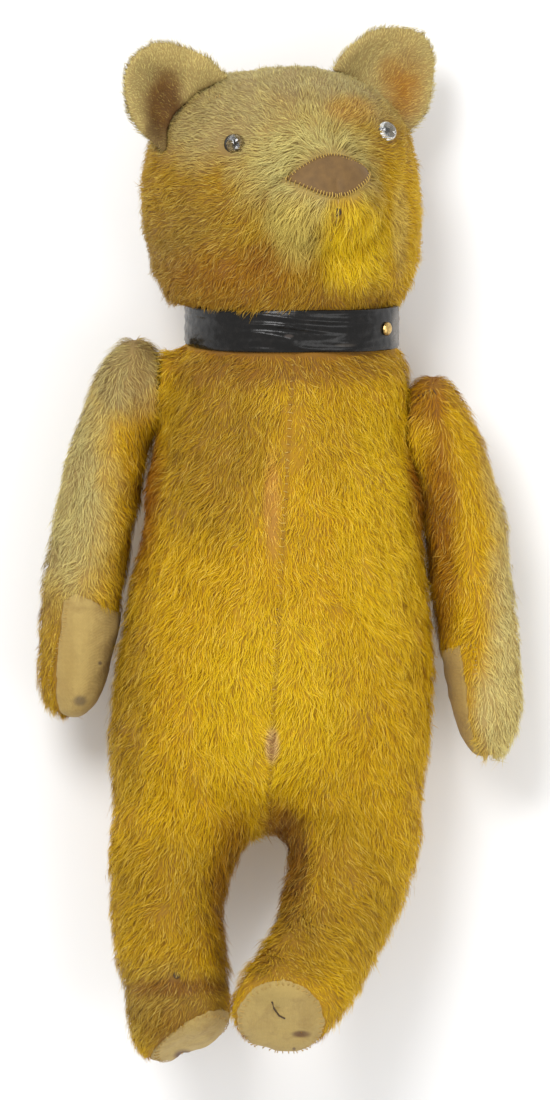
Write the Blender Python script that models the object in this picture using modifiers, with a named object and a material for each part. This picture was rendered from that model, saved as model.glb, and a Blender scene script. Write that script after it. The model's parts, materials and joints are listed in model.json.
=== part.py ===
"""A threadbare teddy bear of about 500 mm, lying on its back.

The front faces +Z, the head points to +Y, and the bear's own left is at +X. The origin is on the flat of its back,
where it rests. The skins are sewn plush shells round stuffing. The head and both arms turn on disc joints: two
fibreboard discs clamp the two skins together, with a washer behind each, and a split pin through them all.
"""

import math

import bmesh
import bpy
from mathutils import Matrix, Vector
from mathutils.bvhtree import BVHTree

# Fits, in metres, as every size here
GAP = 0.0003            # between pieces that touch
TURNING_GAP = 0.0005    # between the two flat faces of a joint
PLUSH = 0.0025          # thickness of the skins, their pile pressed flat
PAD_GAP = 0.0003        # round the edge of a panel or pad that is sewn in

# Torso: (height, half width to the bear's right, half width to its left, front), from the neck down
TORSO_STATIONS = (
    (0.1280, 0.0500, 0.0460, 0.100),
    (0.1130, 0.0620, 0.0540, 0.112),
    (0.0850, 0.0620, 0.0560, 0.113),
    (0.0480, 0.0660, 0.0630, 0.117),
    (0.0000, 0.0715, 0.0710, 0.120),
    (-0.0460, 0.0775, 0.0750, 0.120),
    (-0.0850, 0.0765, 0.0755, 0.112),
)
TORSO_BACK = -0.0025    # where the back would reach if it weren't pressed flat on the ground at z = 0
TORSO_SIDES = 10        # points round a station of the cage
SEAM_X = 0.0025         # where the centre seam crosses y = 0
SEAM_LEAN = math.radians(3.2)   # the seam leans this far to the bear's left, going up
CROTCH_Y = -0.1060
CROTCH_SPREAD = 0.020   # between the two crotch points, front to back

# Legs, which run into the torso: (centre, half width, half depth) of each station, hip to ankle
LEG_LEFT_STATIONS = (
    ((0.0375, -0.1180, 0.058), 0.0310, 0.0365),
    ((0.0330, -0.1440, 0.068), 0.0262, 0.0300),
    ((0.0190, -0.1740, 0.091), 0.0235, 0.0258),
)
LEG_RIGHT_STATIONS = (
    ((-0.0500, -0.1180, 0.057), 0.0288, 0.0365),
    ((-0.0512, -0.1460, 0.061), 0.0262, 0.0300),
    ((-0.0490, -0.1800, 0.071), 0.0244, 0.0265),
)
SOLE_LEFT = (0.0035, -0.2030, 0.117)
SOLE_LEFT_FACING = (-0.08, -0.68, 0.73)
SOLE_RIGHT = (-0.0440, -0.2125, 0.081)
SOLE_RIGHT_FACING = (0.42, -0.86, 0.30)
SOLE_HALF_WIDTH = 0.0228
SOLE_HALF_LENGTH = 0.0250
SOLE_ROUNDING = 0.007   # how far behind the sole's face the foot is at its full size
SOLE_EDGE = 0.0015      # how much smaller the sole's face is
FOOT_PAD_INSET = 0.002  # from the foot's edge to the pad's seam
FEET_SEAM_Y = -0.180    # where the seam between the panels has come to lie between the feet
FEET_SEAM_X = -0.0208

# Neck and strap
NECK_POINT = (0.0080, 0.1330, 0.058)
NECK_LEAN_LEFT = math.radians(0.4)
NECK_LEAN_FORWARD = math.radians(5.5)
NECK_RADIUS = 0.0495
HEAD_BASE_CLEARANCE = 0.0006    # by which the head's base is smaller, to turn clear of the strap
HEAD_BASE_RADIUS = NECK_RADIUS - HEAD_BASE_CLEARANCE
NECK_HALF_HEIGHT = 0.0145   # how far the round neck reaches into the torso and into the head
STRAP_WIDTH = 0.0205
STRAP_THICKNESS = 0.0016
STRAP_TO_NECK = 0.0004
STRAP_OUTER_END = math.radians(76)
STRAP_INNER_END = math.radians(40 - 360)
STRAP_STEP = math.radians(9)
STRAP_LAP_EASE = math.radians(26)   # the turn over which the upper end comes down beside the lower one
STRAP_END_CLEARANCE = math.radians(4)
GROOVE_RADIUS = 0.110   # past everything that the strap's groove is pressed into
NECK_COVER = 0.002      # the round neck closes the groove's floor by this much
STUD_ANGLE = math.radians(57.5)
STUD_RADIUS = 0.0033
STUD_HEIGHT = 0.0022
STUD_RIM = 0.0004
STUD_SHANK_RADIUS = 0.0014

# Head, in its own axes: x to the bear's left, y up, z forward
HEAD_ASIDE = -0.0051    # from the middle of the neck to the head's own middle
HEAD_FORWARD = 0.0020
HEAD_SINK = 0.0030      # how far its lowest ring lies under the plane of the neck joint
HEAD_TURN = math.radians(21.5)  # to the bear's left
HEAD_ROLL = math.radians(4.5)
# (height, half width, depth in front, depth behind)
HEAD_STATIONS = (
    (-0.0690, 0.0480, 0.0460, 0.0460),
    (-0.0540, 0.0575, 0.0540, 0.0540),
    (-0.0230, 0.0685, 0.0580, 0.0605),
    (0.0060, 0.0685, 0.0590, 0.0620),
    (0.0300, 0.0610, 0.0540, 0.0560),
    (0.0470, 0.0430, 0.0400, 0.0400),
    (0.0565, 0.0210, 0.0200, 0.0200),
)
HEAD_SIDES = 10
MUZZLE_CENTRE = (0.0, -0.0085, 0.0390)
MUZZLE_RADII = (0.0310, 0.0290, 0.0350)
MUZZLE_STEPS = (14, 9)  # round it, and from pole to pole
GUSSET_HALF_WIDTH_NOSE = 0.0110
GUSSET_HALF_WIDTH_CROWN = 0.0230
GUSSET_HALF_WIDTH_NAPE = 0.0120
GUSSET_WIDEST_HEIGHT = 0.0300
NOSE_HEIGHT = 0.0030
NOSE_HALF_WIDTH = 0.0205
NOSE_HALF_HEIGHT = 0.0098
NOSE_THICKNESS = 0.0012
EYE_ASIDE = 0.0385
EYE_HEIGHT = 0.0206
EYE_RADIUS = 0.0053
EYE_DOME = 0.0047
EYE_RIM = 0.0012
EYE_BACK_BEVEL = 0.0007
EYE_BACK_RADIUS = 0.0042
BEFORE_FACE = 0.15      # from here the eyes' places are looked up on the face
SHANK_WIRE = 0.0006
SHANK_LENGTH = 0.0110
SHANK_HALF_WIDTH = 0.0016
SHANK_BENDS = 5
EAR_ASIDE = 0.0500
EAR_HEIGHT = 0.0415
EAR_FORWARD = 0.0110
EAR_TILT = math.radians(45)
EAR_HALF_WIDTH = 0.0260
EAR_REACH = 0.0360
EAR_CUP = 0.0120
EAR_THICKNESS = 0.0050
EAR_SIDES = 12
EAR_RINGS = (0.33, 0.68, 1.0)   # shares of the ear's size, from its middle to its edge

# Arms: the shoulder seats, and stations of the arm seen from its pivot:
# (down the arm, outward from the seat, half width, half depth)
SEAT_X = {"left": 0.0640, "right": -0.0562}
PIVOT_Y = {"left": 0.0820, "right": 0.1000}
PIVOT_Z = 0.0550
SEAT_RADIUS = 0.0195
SEAT_CLEARANCE = 0.0008      # between the arm's round seat and the plush that it is sunk into
TORSO_SEAT_DEPTH = 0.0140   # how far the flat seat's round sides reach into the torso
ARM_SEAT_DEPTH = 0.0110     # and into the arm
ARM_STATIONS = (
    (-0.0255, 0.0075, 0.0075, 0.0130),
    (-0.0140, 0.0120, 0.0125, 0.0210),
    (0.0080, 0.0180, 0.0172, 0.0232),
    (0.0400, 0.0270, 0.0195, 0.0215),
    (0.0800, 0.0335, 0.0186, 0.0200),
    (0.1200, 0.0392, 0.0184, 0.0195),
    (0.1450, 0.0420, 0.0150, 0.0165),
    (0.1570, 0.0425, 0.0070, 0.0090),
)
ARM_SIDES = 8
ARM_LEAN = {"left": math.radians(-1.3), "right": 0.0}
ARM_DROP = math.radians(3.0)    # how far the arm falls back from the shoulder, towards the ground
# How far the seam down the arm's front is turned outward: the left palm faces the body, the right one the front
ARM_SEAM_TURN = {"left": math.radians(-28), "right": math.radians(28)}
ARM_SEAM_REACH = 0.1    # the seam's cut goes this far to the front and to the back
WRIST_DOWN = 0.0955
WRIST_OUT = 0.0385
WRIST_ARCH = 0.0100
WRIST_HALF_WIDTH = 0.0180

# Joint hardware
DISC_THICKNESS = 0.003
WASHER_THICKNESS = 0.001
WASHER_RADIUS = 0.0080
ARM_DISC_RADIUS = 0.0155
NECK_DISC_RADIUS = 0.0350
PIN_WIRE = 0.0009
PIN_LEG = PIN_WIRE + 0.00015    # each leg of the pin lies this far from the joint's axis
PIN_EYE = 0.0032
PIN_CURL = 0.0022
PIN_BENDS = 4
PIN_HOLE = PIN_LEG + PIN_WIRE + GAP
ROOM = 0.0004           # free space round the hardware inside the stuffing

# How shapes are made
FAR = 0.5               # past the whole bear
SLIVER = 0.00002        # points of a cut closer than this become one
DISC_STEPS = 16
SMALL_STEPS = 12
DOME_STEPS = 4
NECK_STEPS = 24
PIN_SIDES = 1           # the bevel resolution of wire, which gives it six sides

COLLECTION = "teddy_bear"
OUTWARD = {"left": 1.0, "right": -1.0}


def start_scene():
    for old in list(bpy.data.objects):
        bpy.data.objects.remove(old, do_unlink=True)
    made = []
    for name in (COLLECTION, "shapes_in_work"):
        made.append(bpy.data.collections.new(name))
        bpy.context.scene.collection.children.link(made[-1])
    return made


BEAR, SHAPES = start_scene()


def new_shape(bm, name="shape"):
    """A helper shape, kept out of the bear until it is one of its pieces."""
    bmesh.ops.recalc_face_normals(bm, faces=bm.faces)
    mesh = bpy.data.meshes.new(name)
    bm.to_mesh(mesh)
    bm.free()
    shape = bpy.data.objects.new(name, mesh)
    SHAPES.objects.link(shape)
    shape.hide_render = True
    shape.display_type = "WIRE"
    return shape


def copy_of(shape):
    twin = bpy.data.objects.new(shape.name, shape.data.copy())
    SHAPES.objects.link(twin)
    twin.hide_render = True
    twin.display_type = "WIRE"
    return twin


def settle(shape):
    """Applies the shape's modifiers to its mesh."""
    graph = bpy.context.evaluated_depsgraph_get()
    mesh = bpy.data.meshes.new_from_object(shape.evaluated_get(graph))
    shape.modifiers.clear()
    shape.data = mesh
    return shape


def upright(shape):
    """Turns the faces outward again, after a mirrored placing or a turned profile."""
    bm = bmesh.new()
    bm.from_mesh(shape.data)
    bmesh.ops.recalc_face_normals(bm, faces=bm.faces)
    bm.to_mesh(shape.data)
    bm.free()
    return shape


def drop_slivers(shape):
    """Makes one of the points that a cut left too close together, but only as far as the shape stays closed."""
    for distance in (SLIVER, SLIVER / 10, SLIVER / 100, 0.0):
        bm = bmesh.new()
        bm.from_mesh(shape.data)
        bmesh.ops.triangulate(bm, faces=bm.faces)
        bmesh.ops.dissolve_degenerate(bm, dist=distance, edges=bm.edges)
        closed = all(edge.is_manifold for edge in bm.edges)
        if closed or distance == 0.0:
            bm.to_mesh(shape.data)
        bm.free()
        if closed:
            break
    return shape


def combine(shape, operation, tools):
    for tool in tools:
        boolean = shape.modifiers.new("Boolean", "BOOLEAN")
        boolean.operation = operation
        boolean.solver = "EXACT"
        boolean.object = tool
        settle(shape)
        drop_slivers(shape)
    return shape


def cut(shape, *tools):
    return combine(shape, "DIFFERENCE", tools)


def joined(shape, *tools):
    return combine(shape, "UNION", tools)


def common(shape, *tools):
    return combine(shape, "INTERSECT", tools)


def softened(bm, levels=1):
    """The soft form that a coarse cage stands for."""
    shape = new_shape(bm)
    smooth = shape.modifiers.new("Subdivision", "SUBSURF")
    smooth.levels = levels
    smooth.render_levels = levels
    return settle(shape)


def spread(sides):
    """How much wider a cage's ring is than the round form that it softens to."""
    return 3 / (2 + math.cos(2 * math.pi / sides))


def bridge(bm, upper, lower):
    for i in range(len(upper)):
        j = (i + 1) % len(upper)
        bm.faces.new((upper[i], upper[j], lower[j], lower[i]))


def cylinder(radius, start, end, steps=DISC_STEPS):
    start, end = Vector(start), Vector(end)
    bm = bmesh.new()
    along = end - start
    place = Matrix.Translation((start + end) / 2) @ along.to_track_quat("Z", "Y").to_matrix().to_4x4()
    bmesh.ops.create_cone(
        bm, cap_ends=True, segments=steps, radius1=radius, radius2=radius, depth=along.length, matrix=place
    )
    return new_shape(bm)


def box(low, high):
    low, high = Vector(low), Vector(high)
    bm = bmesh.new()
    place = Matrix.Translation((low + high) / 2) @ Matrix.Diagonal((*(high - low), 1))
    bmesh.ops.create_cube(bm, size=1, matrix=place)
    return new_shape(bm)


def prism(outline, low, high, frame=None):
    """A flat outline, drawn in the frame's x and y, made solid from low to high along its z."""
    bm = bmesh.new()
    face = bm.faces.new([bm.verts.new((x, y, low)) for x, y in outline])
    raised = bmesh.ops.extrude_face_region(bm, geom=[face])["geom"]
    corners = [item for item in raised if isinstance(item, bmesh.types.BMVert)]
    bmesh.ops.translate(bm, verts=corners, vec=(0, 0, high - low))
    shape = new_shape(bm)
    if frame is not None:
        shape.data.transform(frame)
    return shape


def oval(half_width, half_height, steps=16):
    turns = [2 * math.pi * i / steps for i in range(steps)]
    return [(half_width * math.cos(turn), half_height * math.sin(turn)) for turn in turns]


def turned(profile, frame, steps, closed):
    """A profile of (radius, height) points turned about the frame's z."""
    bm = bmesh.new()
    points = [bm.verts.new((radius, 0, height)) for radius, height in profile]
    for one, other in zip(points, points[1:]):
        bm.edges.new((one, other))
    if closed:
        bm.edges.new((points[-1], points[0]))
    shape = new_shape(bm)
    screw = shape.modifiers.new("Screw", "SCREW")
    screw.steps = steps
    screw.render_steps = steps
    screw.use_merge_vertices = True
    screw.merge_threshold = 0.00001
    upright(settle(shape))
    shape.data.transform(frame)
    return shape


def dome(radius, foot, height):
    """The profile of a dome from its foot to its top, for turned()."""
    turns = [math.pi / 2 * i / DOME_STEPS for i in range(DOME_STEPS)]
    curve = [(radius * math.cos(turn), foot + height * math.sin(turn)) for turn in turns]
    return curve + [(0.0, foot + height)]


def wire(points, radius, frame):
    """A bent wire with closed ends."""
    curve = bpy.data.curves.new("wire", "CURVE")
    curve.dimensions = "3D"
    curve.bevel_depth = radius
    curve.bevel_resolution = PIN_SIDES
    curve.use_fill_caps = True
    run = curve.splines.new("POLY")
    run.points.add(len(points) - 1)
    for point, place in zip(run.points, points):
        point.co = (*place, 1)
    bent = bpy.data.objects.new("wire", curve)
    SHAPES.objects.link(bent)
    graph = bpy.context.evaluated_depsgraph_get()
    mesh = bpy.data.meshes.new_from_object(bent.evaluated_get(graph))
    bpy.data.objects.remove(bent, do_unlink=True)
    bm = bmesh.new()
    bm.from_mesh(mesh)
    bmesh.ops.remove_doubles(bm, verts=bm.verts, dist=0.00001)
    shape = new_shape(bm)
    shape.data.transform(frame)
    return shape


def material(name, colour, roughness, metallic=0.0):
    made = bpy.data.materials.new(name)
    made.use_nodes = True
    shader = made.node_tree.nodes["Principled BSDF"]
    shader.inputs["Base Color"].default_value = (*colour, 1)
    shader.inputs["Roughness"].default_value = roughness
    shader.inputs["Metallic"].default_value = metallic
    made.diffuse_color = (*colour, 1)
    return made


GOLDEN_PLUSH = material("golden_plush", (0.52, 0.33, 0.08), 0.95)
PAD_COTTON = material("pad_cotton", (0.58, 0.49, 0.33), 0.9)
WOOD_WOOL = material("wood_wool", (0.66, 0.53, 0.33), 0.95)
NOSE_LEATHER = material("nose_leather", (0.27, 0.16, 0.09), 0.7)
EYE_GLASS = material("eye_glass", (0.80, 0.82, 0.80), 0.05)
LEATHERCLOTH = material("leathercloth", (0.012, 0.012, 0.014), 0.3)
BRASS = material("brass", (0.72, 0.50, 0.20), 0.35, 1.0)
FIBREBOARD = material("fibreboard", (0.30, 0.20, 0.12), 0.85)
STEEL = material("steel", (0.55, 0.55, 0.56), 0.4, 1.0)


def piece(name, shape, finish, origin=(0.0, 0.0, 0.0)):
    """Makes a shape one of the bear's pieces. A piece that turns has its origin on its joint's axis."""
    shape.data.transform(Matrix.Translation(-Vector(origin)))
    shape.location = origin
    SHAPES.objects.unlink(shape)
    BEAR.objects.link(shape)
    shape.name = name
    shape.data.name = name
    shape.hide_render = False
    shape.display_type = "TEXTURED"
    shape.data.materials.clear()
    shape.data.materials.append(finish)
    shape.data.shade_smooth()
    shape.data.set_sharp_from_angle(angle=math.radians(40))
    return shape


def seam_x(y):
    return SEAM_X + y * math.tan(SEAM_LEAN)


def frame_at(point, z_axis, x_hint):
    """Axes at a point, with z along z_axis and x as near as can be to x_hint."""
    z = Vector(z_axis).normalized()
    y = z.cross(Vector(x_hint)).normalized()
    x = y.cross(z)
    turned_axes = Matrix((x, y, z)).transposed().to_4x4()
    return Matrix.Translation(Vector(point)) @ turned_axes


NECK_AXIS = Vector(
    (math.tan(NECK_LEAN_LEFT), 1.0, math.tan(NECK_LEAN_FORWARD))
).normalized()
NECK_FRAME = frame_at(NECK_POINT, NECK_AXIS, (1, 0, 0))
HEAD_CENTRE = (
    NECK_POINT[0] + HEAD_ASIDE,
    NECK_POINT[1] - HEAD_STATIONS[0][0] - HEAD_SINK,
    NECK_POINT[2] + HEAD_FORWARD,
)
HEAD_FRAME = (
    Matrix.Translation(Vector(HEAD_CENTRE))
    @ Matrix.Rotation(HEAD_ROLL, 4, "Z")
    @ Matrix.Rotation(HEAD_TURN, 4, "Y")
)
ARM_PIVOT = {
    side: (SEAT_X[side], PIVOT_Y[side], PIVOT_Z) for side in OUTWARD
}
ARM_JOINT_FRAME = {
    side: frame_at(ARM_PIVOT[side], (OUTWARD[side], 0, 0), (0, 0, 1)) for side in OUTWARD
}


def torso_ring(bm, station, inset):
    y, to_right, to_left, front = station
    wider = spread(TORSO_SIDES)
    middle = (front + TORSO_BACK) / 2
    half_depth = (front - TORSO_BACK) / 2 - inset
    ring = []
    for i in range(TORSO_SIDES):
        turn = 2 * math.pi * i / TORSO_SIDES
        aside = (to_left if math.sin(turn) > 0 else to_right) - inset
        ring.append(bm.verts.new((
            seam_x(y) + wider * aside * math.sin(turn),
            y,
            middle + wider * half_depth * math.cos(turn),
        )))
    return ring


def leg_frame(point, direction, side):
    """Axes across a leg: x outward, z down the leg."""
    outward = Vector((OUTWARD[side], 0, 0))
    return frame_at(point, direction, outward)


def leg_ring(bm, frame, half_width, half_depth, count, side):
    """A ring whose first point is at the front, next to the other leg, and which then goes outward and back."""
    wider = spread(count)
    ring = []
    for i in range(count):
        turn = 2 * math.pi * (i - 1) / count
        across = wider * half_width * math.sin(turn)
        forward = wider * half_depth * math.cos(turn) * OUTWARD[side]
        ring.append(bm.verts.new(frame @ Vector((across, forward, 0))))
    return ring


def leg_rings(bm, side, inset, count):
    stations = {"left": LEG_LEFT_STATIONS, "right": LEG_RIGHT_STATIONS}[side]
    sole = Vector({"left": SOLE_LEFT, "right": SOLE_RIGHT}[side])
    facing = Vector({"left": SOLE_LEFT_FACING, "right": SOLE_RIGHT_FACING}[side]).normalized()
    places = [Vector(place) for place, _, _ in stations] + [sole]
    rings = []
    for i, (place, half_width, half_depth) in enumerate(stations):
        direction = places[i + 1] - places[max(i - 1, 0)]
        frame = leg_frame(place, direction, side)
        rings.append(leg_ring(bm, frame, half_width - inset, half_depth - inset, count, side))
    for behind, smaller in ((SOLE_ROUNDING, 0.0), (0.0, SOLE_EDGE)):
        frame = leg_frame(sole - facing * (behind + inset), facing, side)
        half_width = SOLE_HALF_WIDTH - smaller - inset
        half_length = SOLE_HALF_LENGTH - smaller - inset
        rings.append(leg_ring(bm, frame, half_width, half_length, count, side))
    return rings


def body_form(inset):
    """The torso and both legs as one soft form, this far inside the outside of the plush."""
    bm = bmesh.new()
    rings = [torso_ring(bm, station, inset) for station in TORSO_STATIONS]
    bm.faces.new(rings[0])
    for upper, lower in zip(rings, rings[1:]):
        bridge(bm, upper, lower)
    waist = rings[-1]
    half = TORSO_SIDES // 2
    middle = (TORSO_STATIONS[-1][3] + TORSO_BACK) / 2
    crotch_y = CROTCH_Y + inset
    crotch = [
        bm.verts.new((seam_x(crotch_y), crotch_y, middle + offset))
        for offset in (-CROTCH_SPREAD / 2, CROTCH_SPREAD / 2)
    ]
    hips = {
        "left": waist[: half + 1] + crotch,
        "right": [waist[0]] + waist[:half - 1:-1] + crotch,
    }
    for side, hip in hips.items():
        legs = leg_rings(bm, side, inset, len(hip))
        for upper, lower in zip([hip] + legs, legs):
            bridge(bm, upper, lower)
        bm.faces.new(legs[-1])
    form = softened(bm)
    for side, outward in OUTWARD.items():
        pivot = Vector(ARM_PIVOT[side])
        seat = pivot - Vector((outward * (TURNING_GAP / 2 + inset), 0, 0))
        root = pivot - Vector((outward * TORSO_SEAT_DEPTH, 0, 0))
        joined(form, cylinder(SEAT_RADIUS - inset, root, seat))
        beyond = pivot + Vector((outward * TORSO_SEAT_DEPTH, 0, 0))
        cut(form, cylinder(SEAT_RADIUS + SEAT_CLEARANCE + inset, seat, beyond))
    foot = NECK_FRAME @ Vector((0, 0, -NECK_HALF_HEIGHT))
    top = NECK_FRAME @ Vector((0, 0, -TURNING_GAP / 2 - inset))
    above = NECK_FRAME @ Vector((0, 0, NECK_HALF_HEIGHT))
    cut(form, strap_groove(NECK_RADIUS, inset), cylinder(GROOVE_RADIUS, top, above, NECK_STEPS))
    joined(form, cylinder(NECK_RADIUS - inset, foot, top, NECK_STEPS))
    return pressed_flat(form, inset)


def pressed_flat(form, inset):
    """The form cut off where the ground presses it flat."""
    return cut(form, box((-FAR, -FAR, -FAR), (FAR, FAR, inset)))


def strap_groove(radius, inset):
    """The groove that the strap presses into the plush, all round the neck."""
    half = STRAP_WIDTH / 2 + GAP + inset
    inner = radius - inset - NECK_COVER
    profile = ((GROOVE_RADIUS, half), (GROOVE_RADIUS, -half), (inner, -half), (inner, half))
    return turned(profile, NECK_FRAME, NECK_STEPS, closed=True)


def joint_holes(frame):
    """The hole for the split pin, right through a joint."""
    reach = ARM_SEAT_DEPTH
    return cylinder(PIN_HOLE, frame @ Vector((0, 0, -reach)), frame @ Vector((0, 0, reach)), SMALL_STEPS)


def hardware_levels():
    """Heights over the joint's plane: the disc's face, the washer's, and where the pin may begin."""
    disc = TURNING_GAP / 2 + PLUSH + GAP
    washer = disc + DISC_THICKNESS + GAP
    pin = washer + WASHER_THICKNESS + GAP
    return disc, washer, pin


def pin_heights():
    """The centre of the pin's eye on one side, and the level where its legs start to curl on the other."""
    _, _, pin = hardware_levels()
    return pin + PIN_WIRE + PIN_EYE, pin + PIN_WIRE


def hardware_room(frame, disc_radius, outward):
    """The space for a joint's hardware in the stuffing, outward (1) or inward (-1) of the joint's plane."""
    disc, washer, pin = hardware_levels()
    eye, curl = pin_heights()
    if outward > 0:
        end, pin_room = eye + PIN_EYE + PIN_WIRE + ROOM, PIN_EYE + PIN_WIRE + ROOM
    else:
        end, pin_room = curl + PIN_CURL + PIN_WIRE + ROOM, PIN_LEG + 2 * PIN_CURL + PIN_WIRE + ROOM
    steps = (
        (disc_radius + ROOM, 0.0, washer),
        (WASHER_RADIUS + ROOM, disc, pin),
        (pin_room, washer, end),
    )
    return [
        cylinder(radius, frame @ Vector((0, 0, outward * low)), frame @ Vector((0, 0, outward * high)))
        for radius, low, high in steps
    ]


def joint_hardware(joint, near, far, frame, disc_radius):
    """Discs, washers and split pin. The pin's curled legs are on the near side, its eye on the far side."""
    disc, washer, _ = hardware_levels()
    origin = frame.translation
    for part, way in ((near, -1), (far, 1)):
        for what, radius, level, thickness, finish in (
            ("disc", disc_radius, disc, DISC_THICKNESS, FIBREBOARD),
            ("washer", WASHER_RADIUS, washer, WASHER_THICKNESS, STEEL),
        ):
            low, high = sorted((way * level, way * (level + thickness)))
            profile = ((radius, high), (radius, low), (PIN_HOLE, low), (PIN_HOLE, high))
            steps = DISC_STEPS if what == "disc" else SMALL_STEPS
            shape = turned(profile, frame, steps, closed=True)
            piece(f"{part}_{joint}_{what}", shape, finish, origin)
    piece(f"{joint}_split_pin", wire(pin_points(), PIN_WIRE, frame), STEEL, origin)


def pin_points():
    """One wire: a curl, a leg through the joint, the eye, the other leg and its curl."""
    eye, curl = pin_heights()
    _, _, pin_level = hardware_levels()
    opening = math.asin(PIN_LEG / PIN_EYE)
    half = [(PIN_LEG + 2 * PIN_CURL, 0, -pin_level)]
    for i in range(PIN_BENDS):
        turn = math.pi * i / (PIN_BENDS - 1)
        half.append((PIN_LEG + PIN_CURL + PIN_CURL * math.cos(turn), 0, -curl - PIN_CURL * math.sin(turn)))
    half.append((PIN_LEG, 0, 0))
    for i in range(PIN_BENDS):
        turn = opening + (math.pi - opening) * i / PIN_BENDS
        half.append((PIN_EYE * math.sin(turn), 0, eye - PIN_EYE * math.cos(turn)))
    other = [(-x, y, z) for x, y, z in reversed(half)]
    return half + [(0, 0, eye + PIN_EYE)] + other


def seam_side(side):
    """Everything on one side of the centre seam, which runs down the torso and between the feet."""
    outward = OUTWARD[side]
    line = [(seam_x(FAR), FAR), (seam_x(CROTCH_Y), CROTCH_Y), (FEET_SEAM_X, FEET_SEAM_Y), (FEET_SEAM_X, -FAR)]
    outline = [(x + outward * PAD_GAP / 2, y) for x, y in line]
    outline += [(outward * FAR, -FAR), (outward * FAR, FAR)]
    return prism(outline, -FAR, FAR)


def foot_pad_room(side, grow):
    """The oval of the foot pad, taken just past the sole's thickness."""
    sole = {"left": SOLE_LEFT, "right": SOLE_RIGHT}[side]
    facing = {"left": SOLE_LEFT_FACING, "right": SOLE_RIGHT_FACING}[side]
    inset = FOOT_PAD_INSET - grow
    outline = oval(SOLE_HALF_WIDTH - inset, SOLE_HALF_LENGTH - inset)
    return prism(outline, -PLUSH - FOOT_PAD_INSET, PLUSH, leg_frame(sole, facing, side))


def make_body():
    skin = cut(body_form(0.0), body_form(PLUSH))
    joints = [joint_holes(NECK_FRAME)] + [joint_holes(ARM_JOINT_FRAME[side]) for side in OUTWARD]
    cut(skin, *joints)
    for side in OUTWARD:
        pad = common(copy_of(skin), foot_pad_room(side, 0.0))
        piece(f"foot_pad_{side}", pad, PAD_COTTON)
        panel = common(copy_of(skin), seam_side(side))
        cut(panel, foot_pad_room(side, PAD_GAP))
        piece(f"body_skin_{side}", panel, GOLDEN_PLUSH)
    stuffing = body_form(PLUSH + GAP)
    cut(stuffing, *hardware_room(NECK_FRAME, NECK_DISC_RADIUS, -1))
    for side in OUTWARD:
        cut(stuffing, *hardware_room(ARM_JOINT_FRAME[side], ARM_DISC_RADIUS, -1))
    piece("body_stuffing", stuffing, WOOD_WOOL)


def head_form(inset):
    """The head with its muzzle, this far inside the outside of the plush. A negative inset grows it."""
    bm = bmesh.new()
    wider = spread(HEAD_SIDES)
    rings = []
    for y, aside, front, back in HEAD_STATIONS:
        ring = []
        for i in range(HEAD_SIDES):
            turn = 2 * math.pi * i / HEAD_SIDES
            depth = front if math.cos(turn) > 0 else back
            ring.append(bm.verts.new((
                wider * (aside - inset) * math.sin(turn),
                y - inset * y / abs(HEAD_STATIONS[0][0]),
                wider * (depth - inset) * math.cos(turn),
            )))
        rings.append(ring)
    bm.faces.new(rings[0])
    bm.faces.new(rings[-1])
    for lower, upper in zip(rings, rings[1:]):
        bridge(bm, lower, upper)
    form = softened(bm)
    bm = bmesh.new()
    bmesh.ops.create_uvsphere(bm, u_segments=MUZZLE_STEPS[0], v_segments=MUZZLE_STEPS[1], radius=1)
    radii = [radius - inset for radius in MUZZLE_RADII]
    bm.transform(Matrix.Translation(Vector(MUZZLE_CENTRE)) @ Matrix.Diagonal((*radii, 1)))
    joined(form, new_shape(bm))
    form.data.transform(HEAD_FRAME)
    base = NECK_FRAME @ Vector((0, 0, TURNING_GAP / 2 + inset))
    below = NECK_FRAME @ Vector((0, 0, -NECK_HALF_HEIGHT))
    top = NECK_FRAME @ Vector((0, 0, NECK_HALF_HEIGHT))
    cut(form, strap_groove(HEAD_BASE_RADIUS, inset), cylinder(GROOVE_RADIUS, below, base, NECK_STEPS))
    joined(form, cylinder(HEAD_BASE_RADIUS - inset, base, top, NECK_STEPS))
    return pressed_flat(form, inset)


def gusset_room(grow):
    """The strip over the middle of the head, from the nose over the crown to the nape."""
    widths = (
        (-FAR, GUSSET_HALF_WIDTH_NAPE),
        (HEAD_STATIONS[0][0], GUSSET_HALF_WIDTH_NAPE),
        (NOSE_HEIGHT, GUSSET_HALF_WIDTH_NOSE),
        (GUSSET_WIDEST_HEIGHT, GUSSET_HALF_WIDTH_CROWN),
        (FAR, GUSSET_HALF_WIDTH_CROWN),
    )
    right = [(half + grow, y) for y, half in widths]
    left = [(-half - grow, y) for y, half in reversed(widths)]
    strip = prism(right + left, -FAR, FAR, HEAD_FRAME)
    face_below_nose = box((-FAR, -FAR, grow), (FAR, NOSE_HEIGHT - grow, FAR))
    face_below_nose.data.transform(HEAD_FRAME)
    return cut(strip, face_below_nose)


def head_half(side):
    """Everything on one side of the head's middle, where the two side panels meet under the nose."""
    outward = OUTWARD[side]
    outline = [
        (outward * PAD_GAP / 2, -FAR), (outward * FAR, -FAR), (outward * FAR, FAR), (outward * PAD_GAP / 2, FAR)
    ]
    return prism(outline, -FAR, FAR, HEAD_FRAME)


def eye_frames(outside):
    """The axes of each eye where it sits on the plush, z outward."""
    bm = bmesh.new()
    bm.from_mesh(outside.data)
    surface = BVHTree.FromBMesh(bm)
    bm.free()
    frames = {}
    forward = HEAD_FRAME.to_3x3() @ Vector((0, 0, 1))
    for side, outward in OUTWARD.items():
        start = HEAD_FRAME @ Vector((outward * EYE_ASIDE, EYE_HEIGHT, BEFORE_FACE))
        place, normal, _, _ = surface.ray_cast(start, -forward)
        frames[side] = frame_at(place, (normal + forward).normalized(), (0, 1, 0))
    return frames


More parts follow.
